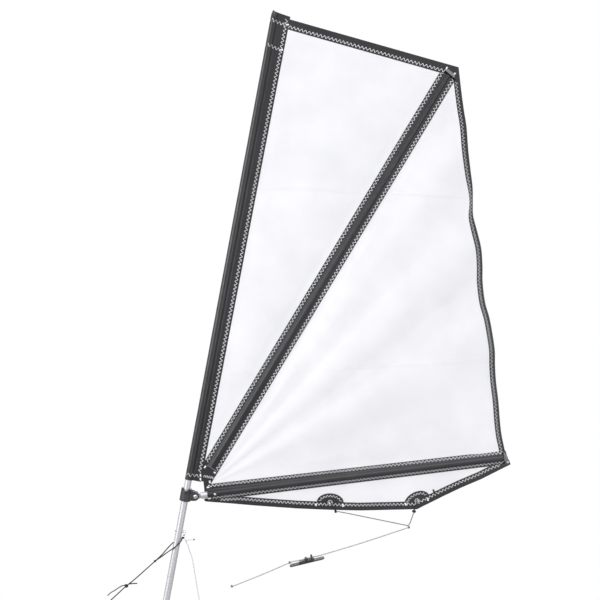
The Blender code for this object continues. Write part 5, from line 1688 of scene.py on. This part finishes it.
# Each lamp: its name, its place, its power and its size
lamps = (
    ("key", (-3.0, -14.0, 24.8), 2800.0, 16.0),
    ("side", (-6.4, -4.8, 2.0), 470.0, 4.6),
    ("fill", (5.2, -6.0, 1.8), 130.0, 3.0),
    ("rear", (1.5, 7.0, 6.0), 800.0, 4.0),
)
lamp_aim = Vector((0.5, 0.0, 1.3))
for title, place, power, size in lamps:
    lamp_data = bpy.data.lights.new(title, "AREA")
    lamp_data.energy = power
    lamp_data.size = size
    lamp = place_in_scene(title, lamp_data)
    lamp.location = place
    lamp.rotation_euler = (lamp_aim - Vector(place)).to_track_quat("-Z", "Y").to_euler()
bpy.context.scene.view_settings.view_transform = "Standard"


# Cloth as cut: each cloth is declared as the flat sheet that it is, stretched between its spars, with the
# tapes, bands and sewing that go with it.
def reach(item, way):
    """How far a piece reaches along a direction."""
    places = [vert.co.dot(way) for vert in item.data.vertices]
    return max(places) - min(places)


def declare_cloth(group, region, along, aside, rests, trimmings):
    """Declare one cloth, with its reach along and aside of its spar, and the trimmings sewn to it."""
    cloth = group[region]
    # Half of a thin closed piece's faces is the area of its cloth
    area = sum(face.area for face in cloth.data.polygons) / 2
    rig.sheet(
        cloth, flat=(reach(cloth, aside), reach(cloth, along)), held="stretched", rests_on=[rests], area=area,
        with_pieces=[piece[region] for piece in trimmings if region in piece])


both_laps = [high_cloth_lap, low_cloth_lap, lap_sewing]
declare_cloth(
    upper_panel, "luff", Vector((0.0, 0.0, 1.0)), aft, "luff_sleeve_round",
    [luff_flange, head_tape, tack_patch, luff_sewing, head_sewing, *both_laps])
declare_cloth(
    upper_panel, "sprit_fore", sprit_along, sprit_aft, "sprit_pocket_round",
    [sprit_fore_band, head_tape, peak_patch, tack_patch, sprit_sewing, head_sewing, *both_laps])
declare_cloth(
    lower_panel, "sprit_aft", sprit_along, sprit_aft, "sprit_pocket_round",
    [sprit_aft_band, leech_tape, peak_patch, tack_patch, sprit_sewing, leech_sewing, *both_laps])
declare_cloth(
    lower_panel, "boom_top", boom_along, boom_up, "boom_pocket_round",
    [boom_top_band, leech_tape, clew_patch, tack_patch, boom_sewing, leech_sewing, low_cloth_lap, lap_sewing])
declare_cloth(
    foot_skirt, "boom", boom_along, boom_up, "boom_pocket_round",
    [foot_tape, foot_corner, boom_low_band, boom_sewing, foot_sewing])

with open("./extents.json", "w") as record:
    json.dump({
        "cad": [list(corner) for corner in cad_box], "visual": [list(corner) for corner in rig.bounds()]}, record)
